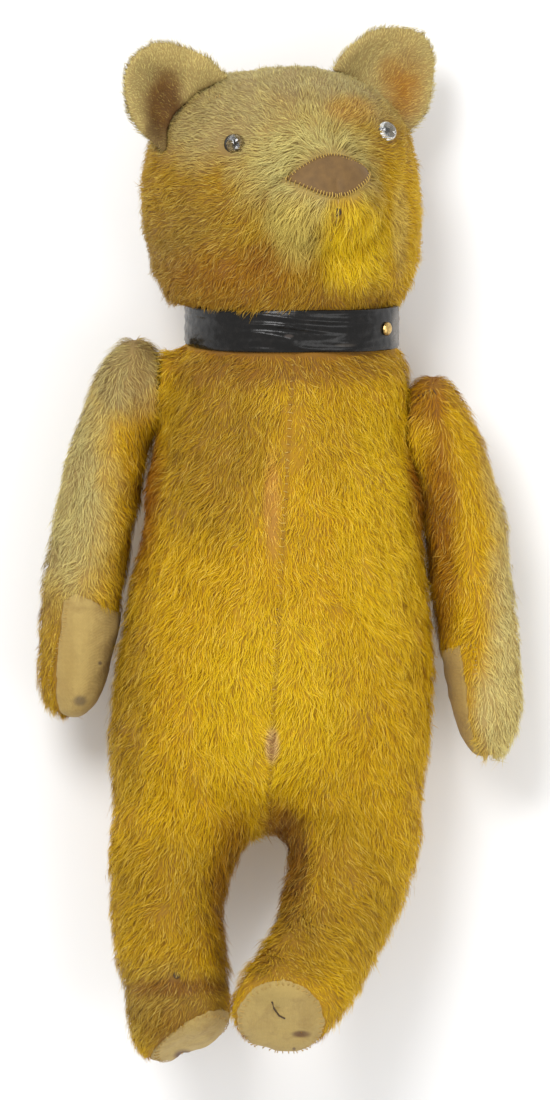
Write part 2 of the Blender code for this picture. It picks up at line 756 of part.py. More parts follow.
def make_head():
    outside = head_form(0.0)
    skin = cut(copy_of(outside), head_form(PLUSH))
    stuffing = head_form(PLUSH + GAP)
    cut(skin, joint_holes(NECK_FRAME))
    cut(stuffing, *hardware_room(NECK_FRAME, NECK_DISC_RADIUS, 1))
    origin = NECK_FRAME.translation
    for side, frame in eye_frames(outside).items():
        make_eye(side, frame, skin, stuffing)
    nose = common(head_form(-GAP - NOSE_THICKNESS), nose_room())
    cut(nose, head_form(-GAP))
    piece("nose_patch", nose, NOSE_LEATHER, origin)
    gusset = common(copy_of(skin), gusset_room(0.0))
    piece("head_gusset", gusset, GOLDEN_PLUSH, origin)
    grown_room = gusset_room(PAD_GAP)
    for side in OUTWARD:
        panel = common(copy_of(skin), head_half(side))
        cut(panel, grown_room)
        piece(f"head_side_{side}", panel, GOLDEN_PLUSH, origin)
        make_ear(side, head_form(-GAP))
    piece("head_stuffing", stuffing, WOOD_WOOL, origin)


def nose_room():
    """The oval of the nose, from inside the muzzle forward."""
    outline = [(x, NOSE_HEIGHT + y) for x, y in oval(NOSE_HALF_WIDTH, NOSE_HALF_HEIGHT)]
    return prism(outline, MUZZLE_CENTRE[2], FAR, HEAD_FRAME)


def make_eye(side, frame, skin, stuffing):
    """A domed glass eye in a shallow seat, and the loop of wire by which it is drawn into the head."""
    origin = NECK_FRAME.translation
    flat = [(0.0, GAP), (EYE_BACK_RADIUS, GAP), (EYE_RADIUS, GAP + EYE_RIM - EYE_BACK_BEVEL)]
    eye = turned(flat + dome(EYE_RADIUS, GAP + EYE_RIM, EYE_DOME), frame, SMALL_STEPS, closed=False)
    piece(f"eye_{side}", eye, EYE_GLASS, origin)
    seat = cylinder(
        EYE_RADIUS + GAP, frame @ Vector((0, 0, 0)), frame @ Vector((0, 0, EYE_RIM + EYE_DOME)), SMALL_STEPS
    )
    shank_room = cylinder(
        SHANK_HALF_WIDTH + 2 * SHANK_WIRE + GAP,
        frame @ Vector((0, 0, -SHANK_LENGTH - SHANK_WIRE - ROOM)),
        frame @ Vector((0, 0, GAP)),
        SMALL_STEPS,
    )
    cut(skin, seat, shank_room)
    cut(stuffing, shank_room)
    bend_starts = SHANK_HALF_WIDTH - SHANK_LENGTH
    bends = [math.pi * i / SHANK_BENDS for i in range(SHANK_BENDS + 1)]
    bent = [
        (-SHANK_HALF_WIDTH * math.cos(turn), 0, bend_starts - SHANK_HALF_WIDTH * math.sin(turn)) for turn in bends
    ]
    loop = [(-SHANK_HALF_WIDTH, 0, 0)] + bent + [(SHANK_HALF_WIDTH, 0, 0)]
    piece(f"eye_shank_{side}", wire(loop, SHANK_WIRE, frame), STEEL, origin)


def make_ear(side, grown_head):
    """A cupped double layer of plush, open to the front, cut so that it sits on the head."""
    outward = OUTWARD[side]
    across = Vector((outward * math.sin(EAR_TILT), -math.cos(EAR_TILT), 0))
    up = Vector((outward * math.cos(EAR_TILT), math.sin(EAR_TILT), 0))
    base = Vector((outward * EAR_ASIDE, EAR_HEIGHT, EAR_FORWARD))
    bm = bmesh.new()
    rings = []
    for share in EAR_RINGS:
        ring = []
        for i in range(EAR_SIDES):
            turn = 2 * math.pi * i / EAR_SIDES
            place = base + across * (spread(EAR_SIDES) * EAR_HALF_WIDTH * share * math.cos(turn))
            place += up * (spread(EAR_SIDES) * EAR_REACH * share * math.sin(turn))
            place.z -= EAR_CUP * (1 - share * share)
            ring.append(bm.verts.new(place))
        rings.append(ring)
    bm.faces.new(rings[0])
    for inner, outer in zip(rings, rings[1:]):
        bridge(bm, inner, outer)
    ear = new_shape(bm)
    thick = ear.modifiers.new("Solidify", "SOLIDIFY")
    thick.thickness = EAR_THICKNESS
    thick.offset = 0.0
    smooth = ear.modifiers.new("Subdivision", "SUBSURF")
    smooth.levels = 1
    smooth.render_levels = 1
    settle(ear)
    ear.data.transform(HEAD_FRAME)
    cut(ear, grown_head)
    piece(f"ear_{side}", ear, GOLDEN_PLUSH, NECK_FRAME.translation)


def arm_axes(side):
    """Axes at the shoulder: x outward, y up the arm, z to the front, leaned as the arm hangs."""
    mirrored = Matrix.Diagonal((OUTWARD[side], 1, 1, 1))
    lean = Matrix.Rotation(ARM_LEAN[side], 4, "Z")
    drop = Matrix.Rotation(ARM_DROP, 4, "X")
    return Matrix.Translation(Vector(ARM_PIVOT[side])) @ drop @ mirrored @ lean


def arm_form(side, inset):
    bm = bmesh.new()
    wider = spread(ARM_SIDES)
    places = [Vector((out, -down, 0)) for down, out, _, _ in ARM_STATIONS]
    rings = []
    for i, (down, _, half_width, half_depth) in enumerate(ARM_STATIONS):
        along = places[min(i + 1, len(places) - 1)] - places[max(i - 1, 0)]
        along.normalize()
        across = Vector((-along.y, along.x, 0))
        shift = along * (inset * (1 if i == 0 else -1 if i == len(ARM_STATIONS) - 1 else 0))
        ring = []
        for k in range(ARM_SIDES):
            turn = 2 * math.pi * (k + 0.5) / ARM_SIDES
            place = places[i] + shift + across * (wider * (half_width - inset) * math.sin(turn))
            place.z += wider * (half_depth - inset) * math.cos(turn)
            ring.append(bm.verts.new(place))
        rings.append(ring)
    bm.faces.new(rings[0])
    bm.faces.new(rings[-1])
    for upper, lower in zip(rings, rings[1:]):
        bridge(bm, upper, lower)
    bm.transform(arm_axes(side))
    form = softened(bm)
    frame = ARM_JOINT_FRAME[side]
    seat = frame @ Vector((0, 0, TURNING_GAP / 2 + inset))
    root = frame @ Vector((0, 0, ARM_SEAT_DEPTH))
    below = frame @ Vector((0, 0, -ARM_SEAT_DEPTH))
    joined(form, cylinder(SEAT_RADIUS - inset, seat, root))
    return cut(form, cylinder(3 * SEAT_RADIUS, below, seat))


def inner_side(side, shift):
    """All that lies on the torso's side of the seam, which runs down the front and the back of the arm."""
    line = [(out + shift, -down) for down, out, _, _ in ARM_STATIONS]
    line = [(line[0][0], FAR)] + line + [(line[-1][0], -FAR)]
    outline = line + [(-FAR, -FAR), (-FAR, FAR)]
    leaning = Matrix.Identity(4)
    leaning[0][2] = math.tan(ARM_SEAM_TURN[side])
    return upright(prism(outline, -ARM_SEAM_REACH, ARM_SEAM_REACH, arm_axes(side) @ leaning))


def paw_side(side, grow):
    """All that lies past the wrist seam, which arches over the paw."""
    top = grow - WRIST_DOWN
    sides = top - WRIST_ARCH
    outline = [
        (-FAR, sides), (WRIST_OUT - WRIST_HALF_WIDTH, sides), (WRIST_OUT, top),
        (WRIST_OUT + WRIST_HALF_WIDTH, sides), (FAR, sides), (FAR, -FAR), (-FAR, -FAR),
    ]
    return upright(prism(outline, -FAR, FAR, arm_axes(side)))


def make_arm(side):
    skin = cut(arm_form(side, 0.0), arm_form(side, PLUSH), joint_holes(ARM_JOINT_FRAME[side]))
    origin = ARM_PIVOT[side]
    inner = common(copy_of(skin), inner_side(side, -PAD_GAP / 2))
    pad = common(copy_of(inner), paw_side(side, 0.0))
    piece(f"paw_pad_{side}", pad, PAD_COTTON, origin)
    piece(f"arm_inner_panel_{side}", cut(inner, paw_side(side, PAD_GAP)), GOLDEN_PLUSH, origin)
    piece(f"arm_outer_panel_{side}", cut(skin, inner_side(side, PAD_GAP / 2)), GOLDEN_PLUSH, origin)
    stuffing = arm_form(side, PLUSH + GAP)
    cut(stuffing, *hardware_room(ARM_JOINT_FRAME[side], ARM_DISC_RADIUS, 1))
    piece(f"arm_stuffing_{side}", stuffing, WOOD_WOOL, origin)
    joint_hardware(f"shoulder_{side}", "body", "arm", ARM_JOINT_FRAME[side], ARM_DISC_RADIUS)


def strap_radius(turn):
    """Radius of the strap's middle: its upper end lies over its lower end, then comes down beside it."""
    low = NECK_RADIUS + STRAP_TO_NECK + STRAP_THICKNESS / 2
    raised = STRAP_THICKNESS + GAP
    clear_of_end = STRAP_INNER_END + 2 * math.pi - STRAP_END_CLEARANCE
    share = (turn - (clear_of_end - STRAP_LAP_EASE)) / STRAP_LAP_EASE
    share = min(max(share, 0.0), 1.0)
    return low + raised * share * share * (3 - 2 * share)


def make_strap():
    """The strap lies round the neck with its ends lapped, and the stud goes through the upper end."""
    count = round((STRAP_OUTER_END - STRAP_INNER_END) / STRAP_STEP)
    bm = bmesh.new()
    rows = []
    for i in range(count + 1):
        turn = STRAP_OUTER_END + (STRAP_INNER_END - STRAP_OUTER_END) * i / count
        radius = strap_radius(turn)
        rows.append([
            bm.verts.new((radius * math.sin(turn), -radius * math.cos(turn), height))
            for height in (-STRAP_WIDTH / 2, STRAP_WIDTH / 2)
        ])
    for one, other in zip(rows, rows[1:]):
        bm.faces.new((one[0], other[0], other[1], one[1]))
    strap = new_shape(bm)
    thick = strap.modifiers.new("Solidify", "SOLIDIFY")
    thick.thickness = STRAP_THICKNESS
    thick.offset = 0.0
    settle(strap)
    strap.data.transform(NECK_FRAME)
    upright(strap)
    outward = Vector((math.sin(STUD_ANGLE), -math.cos(STUD_ANGLE), 0))
    outer_radius = strap_radius(STUD_ANGLE) + STRAP_THICKNESS / 2
    inner_radius = NECK_RADIUS + STRAP_TO_NECK
    face = NECK_FRAME @ (outward * outer_radius)
    way = NECK_FRAME.to_3x3() @ outward
    lap = 3 * STRAP_THICKNESS
    cut(strap, cylinder(STUD_SHANK_RADIUS + GAP, face - way * lap, face + way * lap, SMALL_STEPS))
    piece("collar_strap", strap, LEATHERCLOTH)
    depth = outer_radius - inner_radius
    low = GAP + STUD_RADIUS * STUD_RADIUS / (2 * outer_radius)
    shank = [(0.0, -depth), (STUD_SHANK_RADIUS, -depth), (STUD_SHANK_RADIUS, low), (STUD_RADIUS, low)]
    head = dome(STUD_RADIUS, low + STUD_RIM, STUD_HEIGHT - STUD_RIM)
    stud = turned(shank + head, frame_at(face, way, NECK_AXIS), SMALL_STEPS, closed=False)
    piece("collar_stud", stud, BRASS)


def clear_helpers():
    for shape in list(SHAPES.objects):
        bpy.data.objects.remove(shape, do_unlink=True)
    bpy.data.collections.remove(SHAPES)


make_body()
make_head()
for arm in OUTWARD:
    make_arm(arm)
joint_hardware("neck", "body", "head", NECK_FRAME, NECK_DISC_RADIUS)
make_strap()
clear_helpers()
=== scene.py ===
# %% [markdown]
# # Threadbare teddy bear
# A jointed plush bear, worn by many years of play: golden mohair pile, faded on the arms and the crown, thin along
# the front seam, with cotton pads, clear glass eyes that have lost their paint, a leather nose and a strap collar.
# It lies on its back on a pale floor, and the camera looks straight down at its front.
#
# The CAD frame comes first, because every soft piece here is made from the CAD solids that it stands for, so that
# nothing has to be fitted afterwards.

# %% The CAD frame
import json
import math

import bmesh
import bpy
import numpy as np
from mathutils import Matrix, Vector
from mathutils.bvhtree import BVHTree


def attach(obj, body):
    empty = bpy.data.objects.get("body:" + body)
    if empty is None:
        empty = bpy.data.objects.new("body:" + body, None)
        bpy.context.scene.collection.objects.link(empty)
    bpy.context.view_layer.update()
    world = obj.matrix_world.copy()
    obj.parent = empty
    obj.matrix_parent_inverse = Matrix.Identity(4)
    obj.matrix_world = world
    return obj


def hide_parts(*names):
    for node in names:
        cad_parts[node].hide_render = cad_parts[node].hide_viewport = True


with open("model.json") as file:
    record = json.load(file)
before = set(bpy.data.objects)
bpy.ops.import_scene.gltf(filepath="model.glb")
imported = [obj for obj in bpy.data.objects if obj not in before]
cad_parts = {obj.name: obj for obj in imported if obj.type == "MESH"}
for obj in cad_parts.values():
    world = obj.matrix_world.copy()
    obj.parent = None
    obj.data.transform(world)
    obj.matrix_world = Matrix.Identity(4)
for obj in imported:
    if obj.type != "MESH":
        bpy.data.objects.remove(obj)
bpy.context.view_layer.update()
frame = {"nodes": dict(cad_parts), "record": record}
SIDES = {"left": 1.0, "right": -1.0}  # the bear's own sides: its left is at +X

# %% [markdown]
# ## Camera
# A long lens from far away keeps the head and the feet in proportion, as in the photograph. One pixel of the
# photograph is 0.48 mm on the bear. The origin of the frame is at its pixel (275, 600).

# %% Camera
PIXEL = 0.00048
ORIGIN_PIXEL = (275, 600)
PHOTO_HEIGHT = 1100
CAMERA_DISTANCE = 12.0
OUTLINE_HEIGHT = 0.058  # over the floor, where the bear's outline lies


def spot(px, py, height=0.0):
    """The place in the row frame of a pixel of the photograph, at a height over the floor."""
    return Vector(((px - ORIGIN_PIXEL[0]) * PIXEL, (ORIGIN_PIXEL[1] - py) * PIXEL, height))


def linked(name, data):
    """A new object with this data, in the scene."""
    made = bpy.data.objects.new(name, data)
    bpy.context.scene.collection.objects.link(made)
    return made


camera_data = bpy.data.cameras.new("camera")
camera_data.sensor_fit = "VERTICAL"
camera_data.sensor_height = 36
camera_data.lens = camera_data.sensor_height * CAMERA_DISTANCE / (PHOTO_HEIGHT * PIXEL)
camera_data.clip_end = 50
camera = linked("camera", camera_data)
camera.location = spot(ORIGIN_PIXEL[0], PHOTO_HEIGHT / 2, OUTLINE_HEIGHT + CAMERA_DISTANCE)
bpy.context.scene.camera = camera
print("lens", round(camera_data.lens, 1), "mm")

# %% [markdown]
# ## Light and floor
# Plain studio light: an even pale world and two large soft lamps, one of them stronger and from above the head, so
# that the pile throws short shadows down the body. The floor is a plain pale sheet that keeps the shadow.

# %% Light and floor
world = bpy.data.worlds.new("studio")
world.use_nodes = True
background = world.node_tree.nodes["Background"]
background.inputs["Color"].default_value = (1.0, 1.0, 1.0, 1)
background.inputs["Strength"].default_value = 0.72
bpy.context.scene.world = world
bpy.context.scene.view_settings.view_transform = "Standard"


def soft_lamp(name, place, size, power):
    lamp = bpy.data.lights.new(name, "AREA")
    lamp.shape = "DISK"
    lamp.size = size
    lamp.energy = power
    holder = linked(name, lamp)
    holder.location = place
    aim = Vector((0, 0.02, 0.05)) - Vector(place)
    holder.rotation_euler = aim.to_track_quat("-Z", "Y").to_euler()


soft_lamp("key_lamp", (-0.6, 1.0, 1.9), 1.0, 28)
soft_lamp("fill_lamp", (1.1, -0.5, 1.8), 1.4, 12)

floor_mesh = bpy.data.meshes.new("floor")
floor_mesh.from_pydata([(-6, -6, 0), (6, -6, 0), (6, 6, 0), (-6, 6, 0)], [], [(0, 1, 2, 3)])
floor = linked("floor", floor_mesh)
floor.location.z = -0.0006

# %% [markdown]
# ## Small tools for shader nodes
# Materials are built in code, so one helper adds a node, sets it and wires it, and short ones stand for the nodes
# that come again and again: sums, ranges, noise, mixes and bumps. Effects that several materials share are node
# groups: patches of another colour, the shading of pile from root to tip, the brown of a seam, a weave, and stains.

# %% Shader helpers
def feed(node, inputs):
    """Gives a node's inputs their values, or the sockets that they are wired from."""
    for key, value in inputs.items():
        if isinstance(value, bpy.types.NodeSocket):
            node.id_data.links.new(value, node.inputs[key])
        else:
            node.inputs[key].default_value = value
    return node


def add(tree, kind, inputs=None, **settings):
    """Adds a node with its settings and its inputs."""
    made = tree.nodes.new(kind)
    for name, value in settings.items():
        setattr(made, name, value)
    return feed(made, inputs or {})


def calc(tree, operation, *values):
    """The result of a math node."""
    return add(tree, "ShaderNodeMath", dict(enumerate(values)), operation=operation).outputs[0]


def scaled(tree, vector, factor):
    return add(tree, "ShaderNodeVectorMath", {0: vector, "Scale": factor}, operation="SCALE").outputs[0]


def ranged(tree, value, start=(0, 1), end=(0, 1), **settings):
    """A value mapped from one range to another and kept within it."""
    limits = dict(zip(("From Min", "From Max", "To Min", "To Max"), (*start, *end)))
    return add(tree, "ShaderNodeMapRange", {"Value": value, **limits}, **settings).outputs[0]


def noise(tree, position, scale, detail, **more):
    inputs = {"Vector": position, "Scale": scale, "Detail": detail, **more}
    return add(tree, "ShaderNodeTexNoise", inputs).outputs["Fac"]


def mixed(tree, share, first, second, **settings):
    """A mix of two colours, each a socket or three numbers."""
    first, second = (value if isinstance(value, bpy.types.NodeSocket) else (*value, 1) for value in (first, second))
    made = add(tree, "ShaderNodeMix", {"Factor": share, 6: first, 7: second}, data_type="RGBA", **settings)
    return made.outputs[2]


def bump(tree, height, strength, depth=0.0003):
    return add(tree, "ShaderNodeBump", {"Height": height, "Strength": strength, "Distance": depth}).outputs[0]


def node_group(name, inputs, outputs):
    """A node group, from the values of its inputs and the kinds of its outputs."""
    tree = bpy.data.node_groups.new(name, "ShaderNodeTree")
    for label, value in inputs.items():
        kind = {3: "Vector", 4: "Color"}[len(value)] if isinstance(value, tuple) else "Float"
        socket = tree.interface.new_socket(name=label, in_out="INPUT", socket_type=f"NodeSocket{kind}")
        socket.default_value = value
    for label, kind in outputs.items():
        tree.interface.new_socket(name=label, in_out="OUTPUT", socket_type=f"NodeSocket{kind}")
    return tree, tree.nodes.new("NodeGroupInput").outputs, tree.nodes.new("NodeGroupOutput")


def placed(tree, group, inputs):
    """The outputs of a node group that is placed in a material."""
    made = tree.nodes.new("ShaderNodeGroup")
    made.node_tree = group
    return feed(made, inputs).outputs


def weave_of(tree, position, threads_per_metre):
    return placed(tree, plain_weave, {"Position": position, "Threads": threads_per_metre})


def stains(tree, position, scale, amount):
    return placed(tree, grime, {"Position": position, "Scale": scale, "Amount": amount})["Mask"]


def new_material(name):
    material = bpy.data.materials.new(name)
    material.use_nodes = True
    return material, material.node_tree, material.node_tree.nodes["Principled BSDF"]


def on_object(tree):
    """The position on the object, which is also the place in the row frame."""
    return add(tree, "ShaderNodeTexCoord").outputs["Object"]


# %% Node group: a patch of colour with a ragged edge
soft_patch, given, result = node_group(
    "soft_patch",
    {"Position": (0, 0, 0), "Centre": (0, 0, 0), "Size": (1, 1, 1), "Strength": 1.0, "Raggedness": 0.5},
    {"Mask": "Float"},
)
offset = add(soft_patch, "ShaderNodeVectorMath", {0: given["Position"], 1: given["Centre"]}, operation="SUBTRACT")
share = add(soft_patch, "ShaderNodeVectorMath", {0: offset.outputs[0], 1: given["Size"]}, operation="DIVIDE")
distance = add(soft_patch, "ShaderNodeVectorMath", {0: share.outputs[0]}, operation="LENGTH").outputs["Value"]
ripple = calc(soft_patch, "SUBTRACT", noise(soft_patch, given["Position"], 90.0, 3.0), 0.5)
ragged = calc(soft_patch, "MULTIPLY_ADD", ripple, given["Raggedness"], distance)
falloff = ranged(soft_patch, ragged, (0.45, 1.2), (1, 0), interpolation_type="SMOOTHSTEP")
feed(result, {"Mask": calc(soft_patch, "MULTIPLY", falloff, given["Strength"])})

# %% [markdown]
# ## How pile takes its colour
# Mohair is darkest where the light doesn't reach, at its roots, and palest at its tips, where it has faded most. No
# two strands are quite alike. Each strand therefore carries two numbers, its place from root to tip and a number of
# its own, and one group turns them into lighter and darker versions of the local colour.

# %% Node group: pile from root to tip
pile_shade, given, result = node_group(
    "pile_shade",
    {
        "Color": (0.5, 0.3, 0.05, 1), "Tip": 1.0, "Strand": 0.5,
        "Root": (0.74, 0.56, 0.42, 1), "Bleach": (0.90, 0.74, 0.20, 1),
    },
    {"Color": "Color"},
)
deep = mixed(pile_shade, 1.0, given["Color"], given["Root"], blend_type="MULTIPLY")
lit = mixed(pile_shade, given["Tip"], deep, given["Color"])
varied = scaled(pile_shade, lit, ranged(pile_shade, given["Strand"], end=(0.84, 1.14)))
pale = ranged(pile_shade, given["Strand"], (0.72, 1), (0, 0.5))
bleached = mixed(pile_shade, calc(pile_shade, "MULTIPLY", pale, given["Tip"]), varied, given["Bleach"])
feed(result, {"Color": bleached})

# %% Node group: the line of a seam
seam_line, given, result = node_group(
    "seam_line", {"Position": (0, 0, 0), "Lean": 0.0, "Offset": 0.0, "Half Width": 0.001}, {"Mask": "Float"}
)
axes = add(seam_line, "ShaderNodeSeparateXYZ", {0: given["Position"]}).outputs
middle = calc(seam_line, "MULTIPLY_ADD", axes["Y"], given["Lean"], given["Offset"])
swayed = calc(seam_line, "MULTIPLY_ADD", noise(seam_line, given["Position"], 60.0, 2.0), 0.0014, middle)
aside = calc(seam_line, "ABSOLUTE", calc(seam_line, "SUBTRACT", axes["X"], swayed))
falloff = ranged(seam_line, calc(seam_line, "DIVIDE", aside, given["Half Width"]), (0.3, 1), (1, 0))
above_crotch = ranged(seam_line, axes["Y"], (-0.108, -0.100))
feed(result, {"Mask": calc(seam_line, "MULTIPLY", falloff, above_crotch)})

# %% Node group: a plain weave
plain_weave, given, result = node_group(
    "plain_weave", {"Position": (0, 0, 0), "Threads": 1500.0}, {"Height": "Float", "Shade": "Float"}
)
cells = scaled(plain_weave, given["Position"], given["Threads"])
axes = add(plain_weave, "ShaderNodeSeparateXYZ", {0: cells}).outputs
waves = [
    calc(plain_weave, "ABSOLUTE", calc(plain_weave, "SINE", calc(plain_weave, "MULTIPLY", axes[axis], math.pi)))
    for axis in ("X", "Y")
]
over = add(
    plain_weave, "ShaderNodeTexChecker",
    {"Vector": cells, "Color1": (1, 1, 1, 1), "Color2": (0, 0, 0, 1), "Scale": 1.0},
).outputs["Fac"]
thread = add(plain_weave, "ShaderNodeMix", {"Factor": over, 2: waves[0], 3: waves[1]}, data_type="FLOAT").outputs[0]
height = calc(plain_weave, "MULTIPLY", thread, noise(plain_weave, given["Position"], 600.0, 2.0))
feed(result, {"Height": height, "Shade": ranged(plain_weave, height, end=(0.78, 1.12))})

# %% Node group: stains and grime
grime, given, result = node_group("grime", {"Position": (0, 0, 0), "Scale": 60.0, "Amount": 0.5}, {"Mask": "Float"})
cloud = noise(grime, given["Position"], given["Scale"], 6.0, Roughness=0.65, Distortion=0.6)
feed(result, {"Mask": calc(grime, "MULTIPLY", ranged(grime, cloud, (0.48, 0.72)), given["Amount"])})

# %% Floor material
floor_paint, tree, shader = new_material("floor_paint")
feed(shader, {"Base Color": (0.97, 0.97, 0.97, 1), "Roughness": 0.9})
floor.data.materials.append(floor_paint)

# %% [markdown]
# ## Colours of the plush
# The pile was one golden yellow once. It is still nearly that on the belly. Light and hands have turned the outer
# sides of the arms and the crown a greenish beige, and the sheltered folds have kept a brownish orange, which is
# painted darker there as shade in the creases and gaps between parts. The local colour is one base colour with
# ragged patches laid over it, at the places where the real one changes; patches of painted shade lie where shade
# falls.

# %% Plush colours
GOLD = (0.76, 0.490, 0.008)
YELLOW = (0.86, 0.620, 0.012)
OLD_GOLD = (0.47, 0.285, 0.014)
# brownish orange, darkened as painted shade for the creases, folds and gaps between parts
CREASE_SHADE = (0.36, 0.125, 0.008)
SHADED_GOLD = (0.36, 0.180, 0.014)
FADED = (0.80, 0.710, 0.28)
OLIVE_BEIGE = (0.64, 0.565, 0.225)
CROWN_BEIGE = (0.50, 0.435, 0.190)
MUZZLE_BEIGE = (0.62, 0.565, 0.210)
DULL_BROWN = (0.36, 0.230, 0.040)


PATCH_DEPTH = 0.06


def painted(tree, position, base, patches):
    """The base colour with patches over it: (pixel of the centre, half size in pixels, height, colour, strength)."""
    colour = add(tree, "ShaderNodeRGB").outputs[0]
    colour.default_value = (*base, 1)
    for (px, py), (wide, high), height, patch_colour, strength in patches:
        size = (wide * PIXEL, high * PIXEL, PATCH_DEPTH)
        patch = {"Position": position, "Centre": spot(px, py, height), "Size": size, "Strength": strength}
        colour = mixed(tree, placed(tree, soft_patch, patch)["Mask"], colour, patch_colour)
    return colour


BODY_PATCHES = (
    ((205, 440), (84, 120), 0.11, OLD_GOLD, 0.95),
    ((330, 430), (50, 70), 0.11, OLD_GOLD, 0.35),
    ((345, 890), (60, 110), 0.08, OLD_GOLD, 0.7),
    ((290, 362), (150, 30), 0.10, SHADED_GOLD, 0.8),
    ((125, 700), (46, 140), 0.06, OLD_GOLD, 0.8),
    ((270, 700), (90, 110), 0.12, YELLOW, 0.75),
    ((380, 540), (50, 160), 0.09, YELLOW, 0.5),
    # painted shade in the creases between the arms and the body
    ((143, 480), (26, 130), 0.05, CREASE_SHADE, 0.95),
    ((424, 470), (22, 110), 0.05, CREASE_SHADE, 0.95),
    ((165, 900), (80, 90), 0.07, OLD_GOLD, 0.7),
    # painted shade on the two edges of the gap between the legs
    ((232, 890), (26, 100), 0.07, CREASE_SHADE, 0.6),
    ((284, 870), (26, 90), 0.07, CREASE_SHADE, 0.8),
    ((165, 1005), (70, 50), 0.08, DULL_BROWN, 0.85),
    # a dark band of painted shade in the crease above the right foot
    ((182, 986), (64, 10), 0.10, (0.30, 0.13, 0.015), 0.7),
    ((172, 1030), (34, 30), 0.07, (0.40, 0.21, 0.02), 0.6),
    # painted shade in the gap between the legs
    ((292, 870), (22, 66), 0.08, (0.28, 0.14, 0.02), 0.7),
    ((300, 930), (50, 40), 0.09, (0.40, 0.24, 0.02), 0.7),
    ((285, 962), (60, 26), 0.11, OLD_GOLD, 0.8),
    ((272, 745), (8, 20), 0.12, (0.74, 0.50, 0.22), 0.9),
    ((272, 505), (10, 60), 0.12, (0.80, 0.45, 0.09), 0.6),
)
ARM_PATCHES = {
    "left": (
        ((522, 640), (40, 190), 0.05, FADED, 1.0),
        ((505, 470), (26, 70), 0.06, FADED, 0.45),
        # painted shade along the inner side of the arm, next to the body, and in the crease at its top
        ((440, 520), (24, 150), 0.05, CREASE_SHADE, 0.75),
        ((420, 396), (36, 34), 0.07, CREASE_SHADE, 0.6),
        ((500, 715), (34, 60), 0.06, FADED, 1.0),
    ),
    "right": (
        ((62, 480), (60, 170), 0.06, OLIVE_BEIGE, 1.0),
        ((125, 368), (50, 60), 0.07, CROWN_BEIGE, 0.9),
        # painted shade along the inner side of the arm, next to the body
        ((140, 480), (20, 140), 0.06, CREASE_SHADE, 0.3),
        ((50, 650), (26, 80), 0.06, OLD_GOLD, 0.6),
    ),
}
HEAD_PATCHES = (
    ((190, 235), (84, 90), 0.07, DULL_BROWN, 0.8),
    # painted shade under the muzzle
    ((240, 275), (90, 34), 0.09, (0.40, 0.180, 0.012), 0.75),
    ((285, 70), (170, 84), 0.07, CROWN_BEIGE, 1.0),
    ((225, 128), (90, 50), 0.09, CROWN_BEIGE, 0.85),
    ((160, 190), (30, 60), 0.06, OLD_GOLD, 0.6),
    ((405, 235), (40, 100), 0.07, GOLD, 0.75),
    ((312, 168), (84, 70), 0.13, MUZZLE_BEIGE, 1.0),
    ((295, 232), (36, 40), 0.12, (0.66, 0.54, 0.13), 0.9),
    # painted shadow of the fold under the muzzle
    ((262, 262), (20, 26), 0.12, (0.36, 0.170, 0.015), 0.8),
    ((356, 250), (40, 58), 0.12, YELLOW, 1.0),
    ((340, 216), (18, 20), 0.13, (0.80, 0.59, 0.03), 0.7),
    ((400, 230), (10, 60), 0.09, OLIVE_BEIGE, 0.3),
    ((352, 110), (30, 17), 0.10, (0.58, 0.36, 0.07), 0.75),
    ((265, 304), (160, 22), 0.08, SHADED_GOLD, 0.6),
)
EAR_PATCHES = (
    ((402, 86), (32, 56), 0.08, (0.52, 0.26, 0.02), 1.0),
    ((392, 44), (34, 14), 0.08, FADED, 0.7),
    # painted shade inside the ear, darkest in the crease where it meets the head
    ((165, 106), (24, 44), 0.08, (0.26, 0.145, 0.035), 1.0),
    ((170, 100), (14, 16), 0.08, (0.14, 0.075, 0.02), 0.5),
    ((155, 142), (12, 24), 0.08, (0.14, 0.075, 0.02), 0.6),
    ((180, 58), (44, 14), 0.07, FADED, 0.6),
)

# %% Materials of the pile and of its woven backing
SEAM_AT_ORIGIN = 0.0025
SEAM_LEAN = math.tan(math.radians(3.2))


def plush_colour(tree, position, name, base, patches):
    """The colour of the plush with its patches, painted shade among them, browner along the body's front seam."""
    colour = painted(tree, position, base, patches)
    if name != "body":
        return colour
    line = placed(tree, seam_line, {
        "Position": position, "Lean": SEAM_LEAN, "Offset": SEAM_AT_ORIGIN - 0.0007, "Half Width": 0.0016
    })["Mask"]
    return mixed(tree, calc(tree, "MULTIPLY", line, 0.3), colour, (0.34, 0.16, 0.02))


def plush_materials(name, base, patches):
    """The material of the strands, and that of the worn cloth that they grow from."""
    pile, tree, shader = new_material(f"{name}_pile")
    tip, strand = (
        add(tree, "ShaderNodeAttribute", attribute_name=label).outputs["Fac"] for label in ("pile_tip", "strand")
    )
    colour = plush_colour(tree, on_object(tree), name, base, patches)
    shaded = placed(tree, pile_shade, {"Color": colour, "Tip": tip, "Strand": strand})["Color"]
    feed(shader, {"Base Color": shaded, "Roughness": 0.55, "Specular IOR Level": 0.10})

    backing, tree, shader = new_material(f"{name}_backing")
    position = on_object(tree)
    weave = weave_of(tree, position, 1400.0)
    colour = plush_colour(tree, position, name, base, patches)
    worn = mixed(tree, 1.0, colour, (0.62, 0.50, 0.42), blend_type="MULTIPLY")
    dirt = stains(tree, position, 45.0, 0.35)
    dirty = mixed(tree, dirt, scaled(tree, worn, weave["Shade"]), (0.12, 0.07, 0.03))
    feed(shader, {"Base Color": dirty, "Roughness": 0.9, "Normal": bump(tree, weave["Height"], 0.5)})
    return pile, backing


